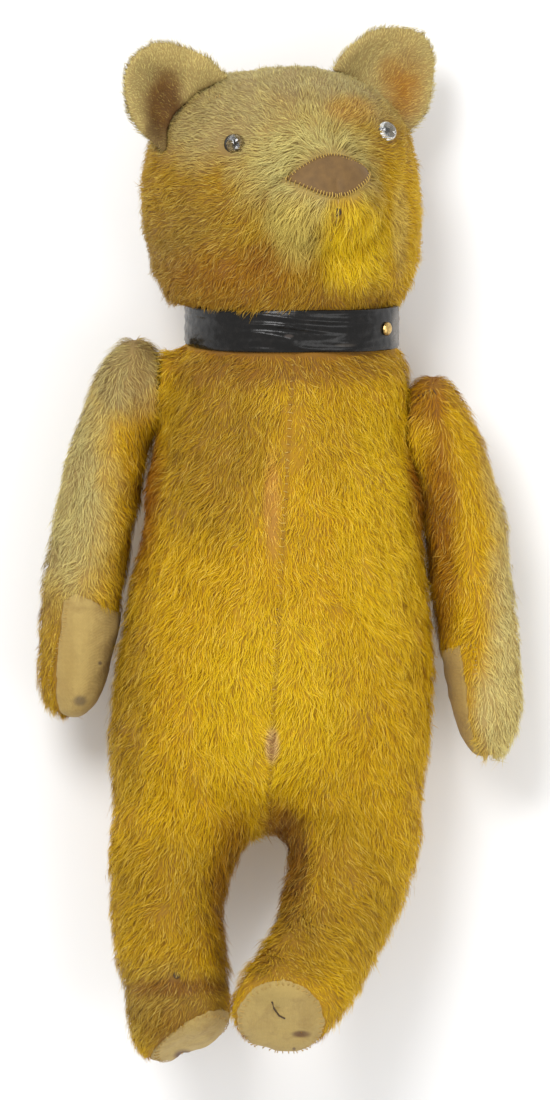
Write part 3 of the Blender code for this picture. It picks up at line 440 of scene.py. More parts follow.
body_pile, body_backing = plush_materials("body", GOLD, BODY_PATCHES)
arm_plush = {side: plush_materials(f"arm_{side}", GOLD, patches) for side, patches in ARM_PATCHES.items()}
head_pile, head_backing = plush_materials("head", OLD_GOLD, HEAD_PATCHES)
ear_pile, ear_backing = plush_materials("ear", OLIVE_BEIGE, EAR_PATCHES)
print("node groups", len(bpy.data.node_groups), "materials", len(bpy.data.materials))

# %% [markdown]
# ## Stuffed forms
# The real skins are sewn from flat panels and packed hard with wood wool, which rounds them and leaves soft lumps.
# The CAD has each panel as its own faceted shell. Here the shells of one body, with the stuffing inside them, are
# joined and remeshed into one skin, smoothed until the facets are gone, and then pushed in and out a little. A
# remesh is chosen over a subdivision surface because it doesn't care how the CAD's faces run.

# %% Stuffed form helpers
def measured(mesh, what, kind="vertices"):
    """An attribute of a mesh as an array of three columns."""
    items = getattr(mesh, kind)
    values = np.empty(len(items) * 3, np.float32)
    items.foreach_get(what, values)
    return values.reshape(-1, 3).astype(float)


def lumps(points, size, seed):
    """A soft field between about -1 and 1 that changes over this size, the same in every run."""
    rng = np.random.default_rng(seed)
    field = np.zeros(len(points))
    for _ in range(7):
        way = rng.normal(size=3)
        way *= 2 * math.pi / (size * np.linalg.norm(way) * rng.uniform(0.7, 1.6))
        field += np.sin(points @ way + rng.uniform(0, 2 * math.pi))
    return field / 3.2


def near(points, centre, size):
    """1 at the centre of an oval patch, falling softly to 0 at its edge."""
    reach = np.linalg.norm((points - np.array(centre)) / np.array(size), axis=1)
    return np.clip(1.0 - reach, 0, 1) ** 0.7


def stuffed(name, nodes, voxel, rounds):
    """One smooth skin round these CAD nodes."""
    shell = bmesh.new()
    for node in nodes:
        shell.from_mesh(frame["nodes"][node].data)
    mesh = bpy.data.meshes.new(name)
    shell.to_mesh(mesh)
    shell.free()
    piece = linked(name, mesh)
    remesh = piece.modifiers.new("Remesh", "REMESH")
    remesh.mode = "VOXEL"
    remesh.voxel_size = voxel
    graph = bpy.context.evaluated_depsgraph_get()
    skin = bpy.data.meshes.new_from_object(piece.evaluated_get(graph))
    piece.modifiers.clear()
    bm = bmesh.new()
    bm.from_mesh(skin)
    keep_largest(bm)
    for _ in range(rounds):
        bmesh.ops.smooth_vert(bm, verts=bm.verts, factor=0.5, use_axis_x=True, use_axis_y=True, use_axis_z=True)
    bm.to_mesh(skin)
    bm.free()
    piece.data = skin
    skin.shade_smooth()
    return piece


def keep_largest(bm):
    """Leaves only the largest connected part, which is the outside."""
    unseen = set(bm.verts)
    largest = set()
    while unseen:
        part, edge = set(), {unseen.pop()}
        while edge:
            part |= edge
            edge = {e.other_vert(v) for v in edge for e in v.link_edges} - part
        unseen -= part
        if len(part) > len(largest):
            largest = part
    bmesh.ops.delete(bm, geom=[v for v in bm.verts if v not in largest], context="VERTS")


def push(piece, amount):
    """Moves each point of a piece out along its normal by amount(points, normals)."""
    points, normals = measured(piece.data, "co"), measured(piece.data, "normal")
    points += normals * amount(points, normals)[:, None]
    piece.data.vertices.foreach_set("co", points.astype(np.float32).ravel())
    piece.data.update()


def surface_of(piece):
    bm = bmesh.new()
    bm.from_mesh(piece.data)
    tree = BVHTree.FromBMesh(bm)
    bm.free()
    return tree


def dress(piece, body, material, slot, *nodes):
    """Gives a piece its material and body, and lets it stand for CAD nodes. The record slot is not used."""
    piece.data.materials.clear()
    piece.data.materials.append(material)
    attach(piece, body)
    if nodes:
        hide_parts(*nodes)
    return piece


# %% [markdown]
# ## Body
# The front seam runs from the strap to the crotch and is drawn in a little, because it was closed by hand from the
# outside after stuffing. The back seam is flatter. The belly has broad soft lumps of stuffing.

# %% Body skin
CROTCH = -0.106


def seam_distance(points):
    """How far a point is from the body's centre seam, sideways. Far from it below the crotch."""
    across = np.abs(points[:, 0] - (SEAM_AT_ORIGIN + points[:, 1] * SEAM_LEAN))
    return np.where(points[:, 1] > CROTCH, across, 1.0)


ANKLE = spot(178, 985)


def ankle(points):
    """1 in the crease above the right foot, falling softly to 0."""
    across = np.clip(1 - np.abs(points[:, 0] - ANKLE.x) / 0.034, 0, 1) ** 0.4
    along = np.exp(-((points[:, 1] - ANKLE.y) / 0.0050) ** 2)
    return across * along * np.clip(points[:, 2] / 0.05 - 0.6, 0, 1)


def body_relief(points, normals):
    above_floor = np.clip(points[:, 2] / 0.012, 0, 1)
    seam = np.exp(-(seam_distance(points) / 0.0028) ** 2)
    feet = near(points, spot(219, 1010, 0.078), (0.018, 0.026, 0.040))
    feet = np.maximum(feet, near(points, spot(241, 1005, 0.106), (0.018, 0.026, 0.040)))
    heel = near(points, spot(178, 1014, 0.090), (0.036, 0.024, 0.045))
    lumpy = 0.0011 * lumps(points, 0.055, 3) + 0.0004 * lumps(points, 0.018, 4)
    lumpy *= 1 - ankle(points)
    return above_floor * lumpy - 0.0011 * seam - 0.0012 * ankle(points) + 0.0042 * feet + 0.0016 * heel


body_skin = stuffed(
    "body_plush",
    ["body_skin_left", "body_skin_right", "foot_pad_left", "foot_pad_right", "body_stuffing"],
    voxel=0.0026, rounds=7,
)
push(body_skin, body_relief)
dress(body_skin, "torso", body_backing, "golden_plush", "body_skin_left", "body_skin_right")
print("body skin", len(body_skin.data.polygons), "faces")

# %% Arm skins
arm_skin = {}
for side in SIDES:
    arm = f"arm_{side}"
    arm_skin[side] = stuffed(
        f"{arm}_plush",
        [f"arm_outer_panel_{side}", f"arm_inner_panel_{side}", f"paw_pad_{side}", f"arm_stuffing_{side}"],
        voxel=0.0021, rounds=5,
    )
    push(arm_skin[side], lambda points, normals: 0.0008 * lumps(points, 0.03, 11) + 0.0003 * lumps(points, 0.012, 12))
    backing = arm_plush[side][1]
    dress(arm_skin[side], arm, backing, "golden_plush", f"arm_outer_panel_{side}", f"arm_inner_panel_{side}")
    print(arm, len(arm_skin[side].data.polygons), "faces")

# %% [markdown]
# ## Head
# The head is turned to the bear's left and tipped a little, so its own axes are used for all that is set on it:
# x to the bear's left, y up, z out of the face. The long muzzle is part of the same skin.

# %% Head skin
HEAD_FRAME = (
    Matrix.Translation((0.0029, 0.1990, 0.0600))
    @ Matrix.Rotation(math.radians(4.5), 4, "Z")
    @ Matrix.Rotation(math.radians(21.5), 4, "Y")
)
NOSE_TIP = np.array(HEAD_FRAME @ Vector((0, 0.004, 0.080)))


def seen_from(matrix, points):
    """Points of the row frame in the axes of another frame."""
    inverse = np.array(matrix.inverted())
    return points @ inverse[:3, :3].T + inverse[:3, 3]


def in_head(points):
    return seen_from(HEAD_FRAME, points)


def head_relief(points, normals):
    own = in_head(points)
    chin_seam = np.exp(-(own[:, 0] / 0.002) ** 2) * (own[:, 1] < 0) * (own[:, 2] > 0.03)
    brow = near(own, (0.0, 0.022, 0.052), (0.034, 0.018, 0.03))
    return 0.0010 * lumps(points, 0.04, 21) + 0.0004 * lumps(points, 0.014, 22) - 0.0012 * chin_seam + 0.002 * brow


head_skin = stuffed(
    "head_plush", ["head_gusset", "head_side_left", "head_side_right", "head_stuffing"], voxel=0.0022, rounds=7
)
push(head_skin, head_relief)
dress(head_skin, "head", head_backing, "golden_plush", "head_gusset", "head_side_left", "head_side_right")

ear_skin = {}
for side in SIDES:
    ear_skin[side] = stuffed(f"ear_plush_{side}", [f"ear_{side}"], voxel=0.0013, rounds=4)
    push(ear_skin[side], lambda points, normals: 0.0006 * lumps(points, 0.022, 31))
    dress(ear_skin[side], "head", ear_backing, "golden_plush", f"ear_{side}")
print("head skin", len(head_skin.data.polygons), "faces")

# %% [markdown]
# ## Cotton pads
# The paws and soles are patched with plain cotton, stained and rubbed. Each pad is its own thin cushion over the
# skin, remeshed from its CAD shell and laid on the skin, a little above it. The foot pads are pulled over the
# rounding of the feet first, as far as the photograph shows them. The soles have small holes, where the brown
# stuffing shows, so those spots are pressed in as well as coloured.

# %% Pad material
pad_cloth, tree, shader = new_material("pad_cloth")
position = on_object(tree)
weave = weave_of(tree, position, 1700.0)
cotton = painted(tree, position, (0.56, 0.390, 0.120), (
    ((80, 701), (8, 6), 0.06, (0.20, 0.14, 0.07), 0.8),
    ((100, 663), (2.4, 2.4), 0.07, (0.16, 0.10, 0.05), 0.8),
    ((62, 660), (16, 70), 0.07, (0.42, 0.27, 0.07), 0.6),
    ((458, 700), (18, 80), 0.06, (0.44, 0.28, 0.07), 0.8),
    ((301, 1032), (11, 4), 0.11, (0.17, 0.08, 0.03), 0.95),
    ((294, 1047), (2.0, 2.0), 0.11, (0.12, 0.06, 0.03), 0.8),
    ((183, 1055), (11, 7), 0.07, (0.12, 0.05, 0.02), 1.0),
    ((197, 1060), (9, 6), 0.07, (0.12, 0.05, 0.02), 1.0),
    ((262, 990), (40, 20), 0.10, (0.44, 0.31, 0.09), 0.6),
    ((310, 1005), (12, 30), 0.11, (0.44, 0.29, 0.08), 0.5),
    ((215, 1030), (14, 12), 0.08, (0.44, 0.29, 0.08), 0.6),
    ((488, 735), (16, 14), 0.06, (0.44, 0.29, 0.08), 0.5),
))
rubbed = stains(tree, position, 110.0, 0.6)
stained = mixed(tree, rubbed, cotton, (0.36, 0.22, 0.06))
feed(shader, {
    "Base Color": scaled(tree, stained, weave["Shade"]), "Normal": bump(tree, weave["Height"], 0.8, 0.0004),
    "Roughness": 0.88, "Sheen Weight": 0.1,
})

# %% Pads
PAD_LIFT = 0.0008   # of a pad's outside over the skin
PAD_TUCK = 0.0006   # of its inside under the skin's surface
SOLE_HOLES = ((301, 1032, 0.0026), (277, 1007, 0.0020), (183, 1055, 0.0026), (197, 1060, 0.0020))


def laid_on(skin):
    """Moves a pad on to the skin, its outside above it and its inside below it."""
    surface = surface_of(skin)

    def move(points, normals):
        for i, point in enumerate(points):
            nearest, facing, _, _ = surface.find_nearest(Vector(point))
            facing = np.array(facing)
            outside = float(np.clip(normals[i] @ facing * 1.5, -1, 1))
            points[i] = np.array(nearest) + facing * (PAD_LIFT * outside if outside > 0 else PAD_TUCK * outside)
        hole = np.zeros(len(points))
        for px, py, radius in SOLE_HOLES:
            across = np.linalg.norm(points[:, :2] - np.array(spot(px, py))[:2], axis=1)
            hole = np.maximum(hole, np.clip(1 - across / radius, 0, 1))
        return 0.0002 * lumps(points, 0.009, 41) - 0.0012 * hole

    return move


SOLES = {  # centre of the sole, the way that it faces, and how far its pad is pulled over the side of the foot
    "left": (Vector((0.0035, -0.2030, 0.117)), Vector((-0.08, -0.68, 0.73)).normalized(), Vector((0, 0, 0))),
    "right": (Vector((-0.0440, -0.2125, 0.081)), Vector((0.42, -0.86, 0.30)).normalized(), Vector((0.0065, 0, 0))),
}
PAD_SPREAD = 1.22   # from heel to toe, over the rounding of the foot


def spread(piece, centre, facing, pulled):
    """Widens a foot pad along the sole, before it is laid on the foot."""
    up = np.array((Vector((0, 1, 0)) - facing * facing.y).normalized())
    points = measured(piece.data, "co")
    points += ((points - np.array(centre)) @ up * (PAD_SPREAD - 1))[:, None] * up + np.array(pulled)
    piece.data.vertices.foreach_set("co", points.astype(np.float32).ravel())


pads = {}
for side in SIDES:
    for what, body, skin in (("foot_pad", "torso", body_skin), ("paw_pad", f"arm_{side}", arm_skin[side])):
        node = f"{what}_{side}"
        pads[node] = stuffed(f"{node}_cloth", [node], voxel=0.0012, rounds=3)
        if what == "foot_pad":
            spread(pads[node], *SOLES[side])
        push(pads[node], laid_on(skin))
        dress(pads[node], body, pad_cloth, "pad_cotton", node)
        print(node, len(pads[node].data.polygons), "faces")

# %% [markdown]
# ## Thread
# All sewing that shows is drawn one by one as single stitches: a thin tube that comes out of the cloth, lies over the
# edge and goes in again. Lines that were read off the photograph are dropped on to the surface from the camera's
# side. Each stitch is a little off, as hand sewing is.

# %% Thread helpers
THREAD_SIDES = 5


def thread_material(name, colour):
    material, tree, shader = new_material(name)
    twist = noise(tree, on_object(tree), 900.0, 2.0)
    shade = mixed(tree, twist, tuple(0.55 * v for v in colour), colour)
    feed(shader, {"Base Color": shade, "Roughness": 0.75})
    return material


def circle(middle, x, y, radius, steps):
    """Points round a circle in the plane of x and y."""
    turns = (2 * math.pi * k / steps for k in range(steps))
    return [middle + (x * math.cos(t) + y * math.sin(t)) * radius for t in turns]


def band(bm, low, high, shift=0):
    """The faces between two rings of points. A ring may be one point, repeated."""
    count = len(low)
    for k in range(count):
        m = (k + 1) % count
        corners = (low[k], low[m], high[(m + shift) % count], high[(k + shift) % count])
        bm.faces.new(list(dict.fromkeys(corners)))


def piece_of(name, bm):
    """A smooth object from a bmesh, its faces turned outward."""
    bmesh.ops.recalc_face_normals(bm, faces=bm.faces)
    mesh = bpy.data.meshes.new(name)
    bm.to_mesh(mesh)
    bm.free()
    mesh.shade_smooth()
    return linked(name, mesh)


def threads(name, paths, radius, material, body):
    """One piece of many thin tubes, each through the points of a path."""
    bm = bmesh.new()
    for path in paths:
        rings = []
        for before, point, after in zip(path[:1] + path, path, path[1:] + path[-1:]):
            along = (after - before).normalized()
            side = along.orthogonal().normalized()
            rings.append([bm.verts.new(p) for p in circle(point, side, along.cross(side), radius, THREAD_SIDES)])
        for low, high in zip(rings, rings[1:]):
            best = min(range(THREAD_SIDES), key=lambda k: (high[k].co - low[0].co).length)
            band(bm, low, high, best)
        bm.faces.new(rings[0])
        bm.faces.new(rings[-1])
    return dress(piece_of(name, bm), body, material, "golden_plush")


def stitch(middle, across, facing, half, lift, rng):
    """The path of one stitch over the surface."""
    across = (across + facing.cross(across) * rng.normal(0, 0.22)).normalized() * half * rng.uniform(0.75, 1.2)
    heights = (-0.0004, lift * 0.8, lift, lift * 0.8, -0.0004)
    return [middle + across * t + facing * h for t, h in zip((-1, -0.6, 0, 0.6, 1), heights)]


def dropped(px, py, surfaces):
    """The highest point of these surfaces under a pixel of the photograph, with the normal there."""
    start = spot(px, py, 0.4)
    hits = [surface.ray_cast(start, Vector((0, 0, -1))) for surface in surfaces]
    hits = [hit for hit in hits if hit[0] is not None]
    if not hits:
        return None
    return max(hits, key=lambda hit: hit[0].z)[:2]


def along_line(pixels, pitch, surfaces):
    """Places at this pitch along a line of pixels: (place, normal, direction along the line)."""
    found = []
    for (x0, y0), (x1, y1) in zip(pixels, pixels[1:]):
        steps = max(1, round(math.hypot(x1 - x0, y1 - y0) / pitch))
        for k in range(steps):
            share = k / steps
            hit = dropped(x0 + (x1 - x0) * share, y0 + (y1 - y0) * share, surfaces)
            if hit:
                found.append((*hit, Vector((x1 - x0, y0 - y1, 0)).normalized()))
    return found


def sewn_line(name, pixels, pitch, half, radius, surfaces, material, body, seed):
    rng = np.random.default_rng(seed)
    paths = []
    for place, facing, along in along_line(pixels, pitch, surfaces):
        across = facing.cross(along).normalized()
        paths.append(stitch(place, across, facing, half, radius * 1.6, rng))
    threads(name, paths, radius, material, body)


tan_thread = thread_material("tan_thread", (0.62, 0.40, 0.11))
gold_thread = thread_material("gold_thread", (0.72, 0.47, 0.10))
dark_thread = thread_material("dark_thread", (0.09, 0.05, 0.025))

# %% Stitches on the body and the paws
body_surface, head_surface = surface_of(body_skin), surface_of(head_skin)
sewn_line(
    "front_seam_stitches", [(293, 366), (285, 500), (275, 640), (268, 818)], 8, 0.0014, 0.00024,
    [body_surface], gold_thread, "torso", 1,
)
PAW_LINES = {
    "right": [
        [(70, 594), (66, 609), (62, 635), (54, 657), (49, 680), (53, 704)],
        [(70, 594), (89, 590), (110, 602), (115, 615)],
    ],
    "left": [[(454, 652), (475, 643)], [(475, 643), (475, 700), (478, 741), (489, 757)]],
}
for side, lines in PAW_LINES.items():
    on = [surface_of(arm_skin[side]), surface_of(pads[f"paw_pad_{side}"])]
    for k, line in enumerate(lines):
        sewn_line(
            f"paw_{side}_stitches_{k}", line, 4.5, 0.0011, 0.00022, on, tan_thread, f"arm_{side}", 20 + k,
        )
sewn_line(
    "shoulder_mend_stitches", [(416, 398), (426, 393), (438, 391)], 4, 0.0015, 0.00025,
    [surface_of(arm_skin["left"])], dark_thread, "arm_left", 31,
)
sewn_line(
    "ear_mend_stitches", [(204, 106), (213, 99), (224, 97)], 4, 0.0017, 0.00026,
    [head_surface], tan_thread, "head", 32,
)

# %% Stitches round the soles
PAD_HALF = (0.0206, 0.0228 * PAD_SPREAD)
SOLE_STITCHES = 44
for side, (centre, z, pulled) in SOLES.items():
    rng = np.random.default_rng(50)
    y = z.cross(Vector((SIDES[side], 0, 0))).normalized()
    x = y.cross(z)
    on = surface_of(pads[f"foot_pad_{side}"])
    paths = []
    for k in range(SOLE_STITCHES):
        turn = 2 * math.pi * k / SOLE_STITCHES
        outward = x * math.cos(turn) + y * math.sin(turn)
        place, normal, _, _ = on.find_nearest(
            centre + pulled + x * PAD_HALF[0] * math.cos(turn) + y * PAD_HALF[1] * math.sin(turn) + z * 0.001
        )
        paths.append(stitch(place, outward, normal, 0.0013, 0.0005, rng))
    threads(f"sole_{side}_stitches", paths, 0.00025, tan_thread, "torso")
slit_pixels = ((272, 999), (274, 1006), (279, 1013), (285, 1016))
slit = [dropped(px, py, [surface_of(pads["foot_pad_left"])]) for px, py in slit_pixels]
threads("sole_slit", [[place + facing * 0.0001 for place, facing in slit]], 0.00045, dark_thread, "torso")

# %% [markdown]
# ## Nose
# A lens-shaped piece of thin brown leather, whip stitched all round with gold thread. It is a grid laid on the head's
# own surface, so it follows the end of the muzzle, and it is thick enough to cast a fine edge.

# %% Nose
NOSE_HEIGHT = 0.0016
NOSE_HALF = (0.0206, 0.0100)
NOSE_LIFT = 0.0013
STITCH_PITCH = 0.00150
BEFORE_FACE = 0.15
INTO_HEAD = HEAD_FRAME.to_3x3() @ Vector((0, 0, -1))


def on_face(x, y):
    """The point of the face in front of (x, y) of the head's own axes, with its normal."""
    return head_surface.ray_cast(HEAD_FRAME @ Vector((x, y, BEFORE_FACE)), INTO_HEAD)[:2]


def lens(share):
    """Half the height of the nose at a share of its half width."""
    return NOSE_HALF[1] * (1 - abs(share) ** 1.8)


nose_leather, tree, shader = new_material("nose_leather_worn")
position = on_object(tree)
grain = add(tree, "ShaderNodeTexVoronoi", {"Vector": position, "Scale": 1700.0}).outputs["Distance"]
tone = mixed(tree, noise(tree, position, 260.0, 5.0), (0.096, 0.050, 0.014), (0.220, 0.118, 0.030))
feed(shader, {"Base Color": tone, "Normal": bump(tree, grain, 0.35), "Roughness": 0.7})

COLUMNS, ROWS = 36, 14
bm = bmesh.new()
layers = []
for lift in (NOSE_LIFT, -0.0006):
    grid = []
    for i in range(COLUMNS + 1):
        share = -1 + 2 * i / COLUMNS
        row = []
        for j in range(ROWS + 1):
            place, facing = on_face(share * NOSE_HALF[0], NOSE_HEIGHT + lens(share) * (2 * j / ROWS - 1))
            edge = max(abs(share), abs(2 * j / ROWS - 1))
            rounding = 0.0005 * max(0, (edge - 0.85) / 0.15) if lift > 0 else 0
            row.append(bm.verts.new(place + facing * (lift - rounding)))
        grid.append(row)
    layers.append(grid)
for grid in layers:
    for i in range(COLUMNS):
        for j in range(ROWS):
            bm.faces.new((grid[i][j], grid[i + 1][j], grid[i + 1][j + 1], grid[i][j + 1]))
top, under = layers
for i in range(COLUMNS):
    for j in (0, ROWS):
        bm.faces.new((top[i][j], top[i + 1][j], under[i + 1][j], under[i][j]))
for j in range(ROWS):
    for i in (0, COLUMNS):
        bm.faces.new((top[i][j], top[i][j + 1], under[i][j + 1], under[i][j]))
bmesh.ops.remove_doubles(bm, verts=bm.verts, dist=0.00002)
dress(piece_of("nose", bm), "head", nose_leather, "nose_leather", "nose_patch")

rng = np.random.default_rng(60)
paths = []
for sign in (1, -1):
    count = round(2 * NOSE_HALF[0] * 1.12 / STITCH_PITCH)
    for k in range(count + 1):
        share = max(-0.985, min(0.985, -1 + 2 * k / count))
        x, y = share * NOSE_HALF[0], sign * lens(share)
        slope = sign * (lens(share + 0.01) - lens(share - 0.01)) / (0.02 * NOSE_HALF[0])
        out = Vector((-slope * sign, sign, 0)).normalized()
        rim, facing = on_face(x, y + NOSE_HEIGHT)
        away = HEAD_FRAME.to_3x3() @ out
        away = (away - facing * away.dot(facing)).normalized()
        reach = rng.uniform(0.0010, 0.0017)
        inner = rim - away * reach + facing * (NOSE_LIFT + 0.0001)
        over = rim + away * 0.0002 + facing * (NOSE_LIFT + 0.0002)
        outer = rim + away * rng.uniform(0.0008, 0.0013) + facing * 0.0001
        paths.append([inner - facing * 0.0004, inner, over, outer, outer - facing * 0.0006])
threads("nose_stitches", paths, 0.00022, gold_thread, "head")

# %% Mouth seam, the hole under the nose and other small holes
def ring(name, place, facing, radius, thickness, material, body):
    """A puckered hole: a dark rim with a disc in it, sunk a little."""
    side = facing.orthogonal().normalized()
    other = facing.cross(side)
    rng = np.random.default_rng(70)
    around = [
        place + outward * rng.uniform(0.9, 1.1) + facing * 0.0003
        for outward in circle(Vector(), side, other, radius, 14)
    ]
    paths = [around + around[:2]]
    for k in range(-3, 4):
        reach = radius * math.sqrt(max(0.0, 1 - (k / 3.6) ** 2))
        paths.append([place + other * radius * k / 3.6 + side * reach * t + facing * 0.0001 for t in (-1, 0, 1)])
    threads(name, paths, thickness, material, body)


mouth = [on_face(0.0002 * math.sin(k), NOSE_HEIGHT - NOSE_HALF[1] - 0.0014 - 0.0016 * k) for k in range(12)]
threads("mouth_seam", [[place + facing * 0.0002 for place, facing in mouth]], 0.00035, tan_thread, "head")
hole, hole_facing = dropped(337, 214, [head_surface])
ring("muzzle_hole", hole, hole_facing, 0.0017, 0.00042, dark_thread, "head")
ankle_hole, ankle_facing = dropped(177, 974, [body_surface])
ring("ankle_moth_hole", ankle_hole, ankle_facing, 0.0013, 0.0005, dark_thread, "torso")

# %% [markdown]
# ## Eyes
# Clear glass domes that once had painted backs. The paint has flaked, so that a ragged dark ring and a pupil are all
# that is left, seen through the glass. Each is a turned dome in front of a thin disc.

# %% Eyes
EYE_RADIUS = 0.0050
EYE_DOME = 0.0046
EYE_LIFT = 0.0010   # of an eye's back over the cloth
EYE_PLACE = (0.0385, 0.0206)   # outward and up from the middle of the face


def turned(name, profile, steps, place, axis):
    """A smooth round solid from a profile of (radius, height), whose ends lie on the axis."""
    z = axis.normalized()
    x = z.orthogonal().normalized()
    y = z.cross(x)
    bm = bmesh.new()
    rings = [
        [bm.verts.new(p) for p in circle(place + z * height, x, y, radius, steps)] if radius
        else [bm.verts.new(place + z * height)] * steps
        for radius, height in profile
    ]
    for low, high in zip(rings, rings[1:]):
        band(bm, low, high)
    return piece_of(name, bm)


clear_glass, tree, shader = new_material("clear_glass")
feed(shader, {"Base Color": (0.86, 0.87, 0.85, 1), "Transmission Weight": 1.0, "Roughness": 0.03, "IOR": 1.5})

flaked_paint, tree, shader = new_material("flaked_paint")
across = add(tree, "ShaderNodeAttribute", attribute_name="across").outputs["Fac"]
flakes = calc(tree, "SUBTRACT", noise(tree, on_object(tree), 900.0, 4.0), 0.5)
bands = add(tree, "ShaderNodeValToRGB", {"Fac": calc(tree, "MULTIPLY_ADD", flakes, 0.5, across)})
ramp = bands.color_ramp.elements
ramp[0].color, ramp[1].color = (0.010, 0.009, 0.009, 1), (0.012, 0.010, 0.009, 1)
for stop, colour in ((0.30, (0.03, 0.025, 0.02)), (0.36, (0.20, 0.17, 0.12)), (0.72, (0.16, 0.12, 0.08)),
                     (0.80, (0.02, 0.015, 0.012))):
    ramp.new(stop).color = (*colour, 1)
feed(shader, {"Base Color": bands.outputs["Color"], "Roughness": 0.5})

eye_places = {}
for side, outward in SIDES.items():
    place, facing = on_face(outward * EYE_PLACE[0], EYE_PLACE[1])
    axis = (facing + HEAD_FRAME.to_3x3() @ Vector((0, 0, 1))).normalized()
    place = place + facing * EYE_LIFT
    eye_places[side] = np.array(place)
    dome = [(EYE_RADIUS * math.cos(t), 0.0006 + EYE_DOME * math.sin(t)) for t in np.linspace(0, math.pi / 2, 12)]
    dome[-1] = (0, dome[-1][1])
    glass = turned(f"eye_glass_{side}", [(0, 0), (EYE_RADIUS * 0.96, 0)] + dome, 40, place, axis)
    dress(glass, "head", clear_glass, "eye_glass", f"eye_{side}")
    disc = [(EYE_RADIUS * k / 8, -0.0001) for k in range(9)] + [(EYE_RADIUS * 0.95, -0.0020), (0, -0.0020)]
    back = turned(f"eye_paint_{side}", disc, 32, place, axis)
    reach = np.linalg.norm(measured(back.data, "co") - np.array(place), axis=1) / EYE_RADIUS
    back.data.attributes.new("across", "FLOAT", "POINT").data.foreach_set("value", reach.astype(np.float32))
    dress(back, "head", flaked_paint, "eye_glass")

# %% [markdown]
# ## Collar
# A strap of black leathercloth with a brass stud. Years of hanging have drawn it into long creases at the front, and
# its coating has worn grey at the buttoned end. It is one strip wound round the neck joint's axis, its outer end
# lapped over the inner one.

# %% Collar
neck = next(joint for joint in frame["record"]["behaviour"]["joints"] if joint["name"] == "head_turn")
neck_z = Vector(neck["axis"]).normalized()
neck_y = neck_z.cross(Vector((1, 0, 0))).normalized()
neck_axes = Matrix((neck_y.cross(neck_z), neck_y, neck_z)).transposed().to_4x4()
NECK_FRAME = Matrix.Translation(Vector(neck["pos_m"])) @ neck_axes
STRAP_RADIUS = 0.0507
STRAP_HALF = 0.01015
STRAP_THICKNESS = 0.0015
STRAP_TURNS = (math.radians(-319), math.radians(75.5))
LAP = (math.radians(10), math.radians(36))  # over this turn the outer end climbs on to the inner one


def strap_profile():
    """Points round the strap's section: (across, share of the thickness outward)."""
    outer = [(t, 1.0 if abs(t) < 0.9 else 0.55) for t in np.linspace(-0.97, 0.97, 31)]
    return [(-1.0, 0.0)] + outer + [(1.0, 0.0), (0.9, -1.0), (0.0, -1.0), (-0.9, -1.0)]


def strap_creases(turn, across):
    """How far the outside of the strap stands out or in."""
    run = turn * STRAP_RADIUS
    flat = np.stack([run * 0.16, across * STRAP_HALF + 0.0015 * np.sin(run / 0.013), run * 0.02], axis=1)
    folds = 1 - np.abs(lumps(flat, 0.0062, 81)) * 1.6
    front = np.exp(-((np.degrees(turn) + 4) / 42) ** 2)
    fine = lumps(np.stack([run, across * STRAP_HALF, run * 0], axis=1), 0.004, 82)
    return (0.00075 * front + 0.00016) * folds * (1 - np.abs(across) ** 6) + 0.00007 * fine


turns = np.radians(np.arange(math.degrees(STRAP_TURNS[0]), math.degrees(STRAP_TURNS[1]), 1.2))
section = strap_profile()
points = []
for across, outward in section:
    climb = np.clip((turns - LAP[0]) / (LAP[1] - LAP[0]), 0, 1)
    radius = STRAP_RADIUS + (STRAP_THICKNESS + 0.0004) * climb * climb * (3 - 2 * climb)
    radius = radius + outward * STRAP_THICKNESS / 2
    if outward > 0:
        radius = radius + strap_creases(turns, np.full(len(turns), across))
    height = across * STRAP_HALF + 0.0004 * np.sin(turns * 3 + 1)
    points.append(np.stack([radius * np.sin(turns), -radius * np.cos(turns), height], axis=1))
grid = np.stack(points, axis=1)
bm = bmesh.new()
verts = [[bm.verts.new(NECK_FRAME @ Vector(p)) for p in ring_points] for ring_points in grid]
for low, high in zip(verts, verts[1:]):
    band(bm, low, high)
bm.faces.new(verts[0])
bm.faces.new(verts[-1])
strap = piece_of("strap", bm)

black_cloth, tree, shader = new_material("black_leathercloth")
position = on_object(tree)
fine = noise(tree, position, 500.0, 6.0)
black = painted(tree, position, (0.006, 0.0055, 0.005), (
    ((399, 330), (9, 24), 0.08, (0.16, 0.14, 0.12), 0.9),
    ((289, 337), (5, 2), 0.12, (0.10, 0.08, 0.07), 0.5),
    ((345, 346), (12, 2), 0.12, (0.06, 0.05, 0.04), 0.6),
))
rub = stains(tree, position, 240.0, 0.3)
feed(shader, {
    "Base Color": mixed(tree, rub, black, (0.030, 0.025, 0.022)), "Specular IOR Level": 0.27,
    "Roughness": ranged(tree, fine, end=(0.14, 0.36)), "Normal": bump(tree, fine, 0.35),
})
dress(strap, "torso", black_cloth, "leathercloth", "collar_strap")

old_brass, tree, shader = new_material("old_brass")
tarnish = stains(tree, on_object(tree), 500.0, 0.9)
metal = mixed(tree, tarnish, (0.62, 0.42, 0.15), (0.13, 0.08, 0.03))
feed(shader, {"Base Color": metal, "Metallic": 1.0, "Roughness": 0.38})


def coat(node, material):
    """Gives a CAD solid that shows as it is a better material."""
    for material_slot in node.material_slots:
        material_slot.material = material


coat(frame["nodes"]["collar_stud"], old_brass)

# %% [markdown]
# ## Inside
# Wood wool, fibreboard discs and steel pins show only if the bear is opened, so their CAD solids stay. Only the wood
# wool gets a material of its own, because it shows through the holes.

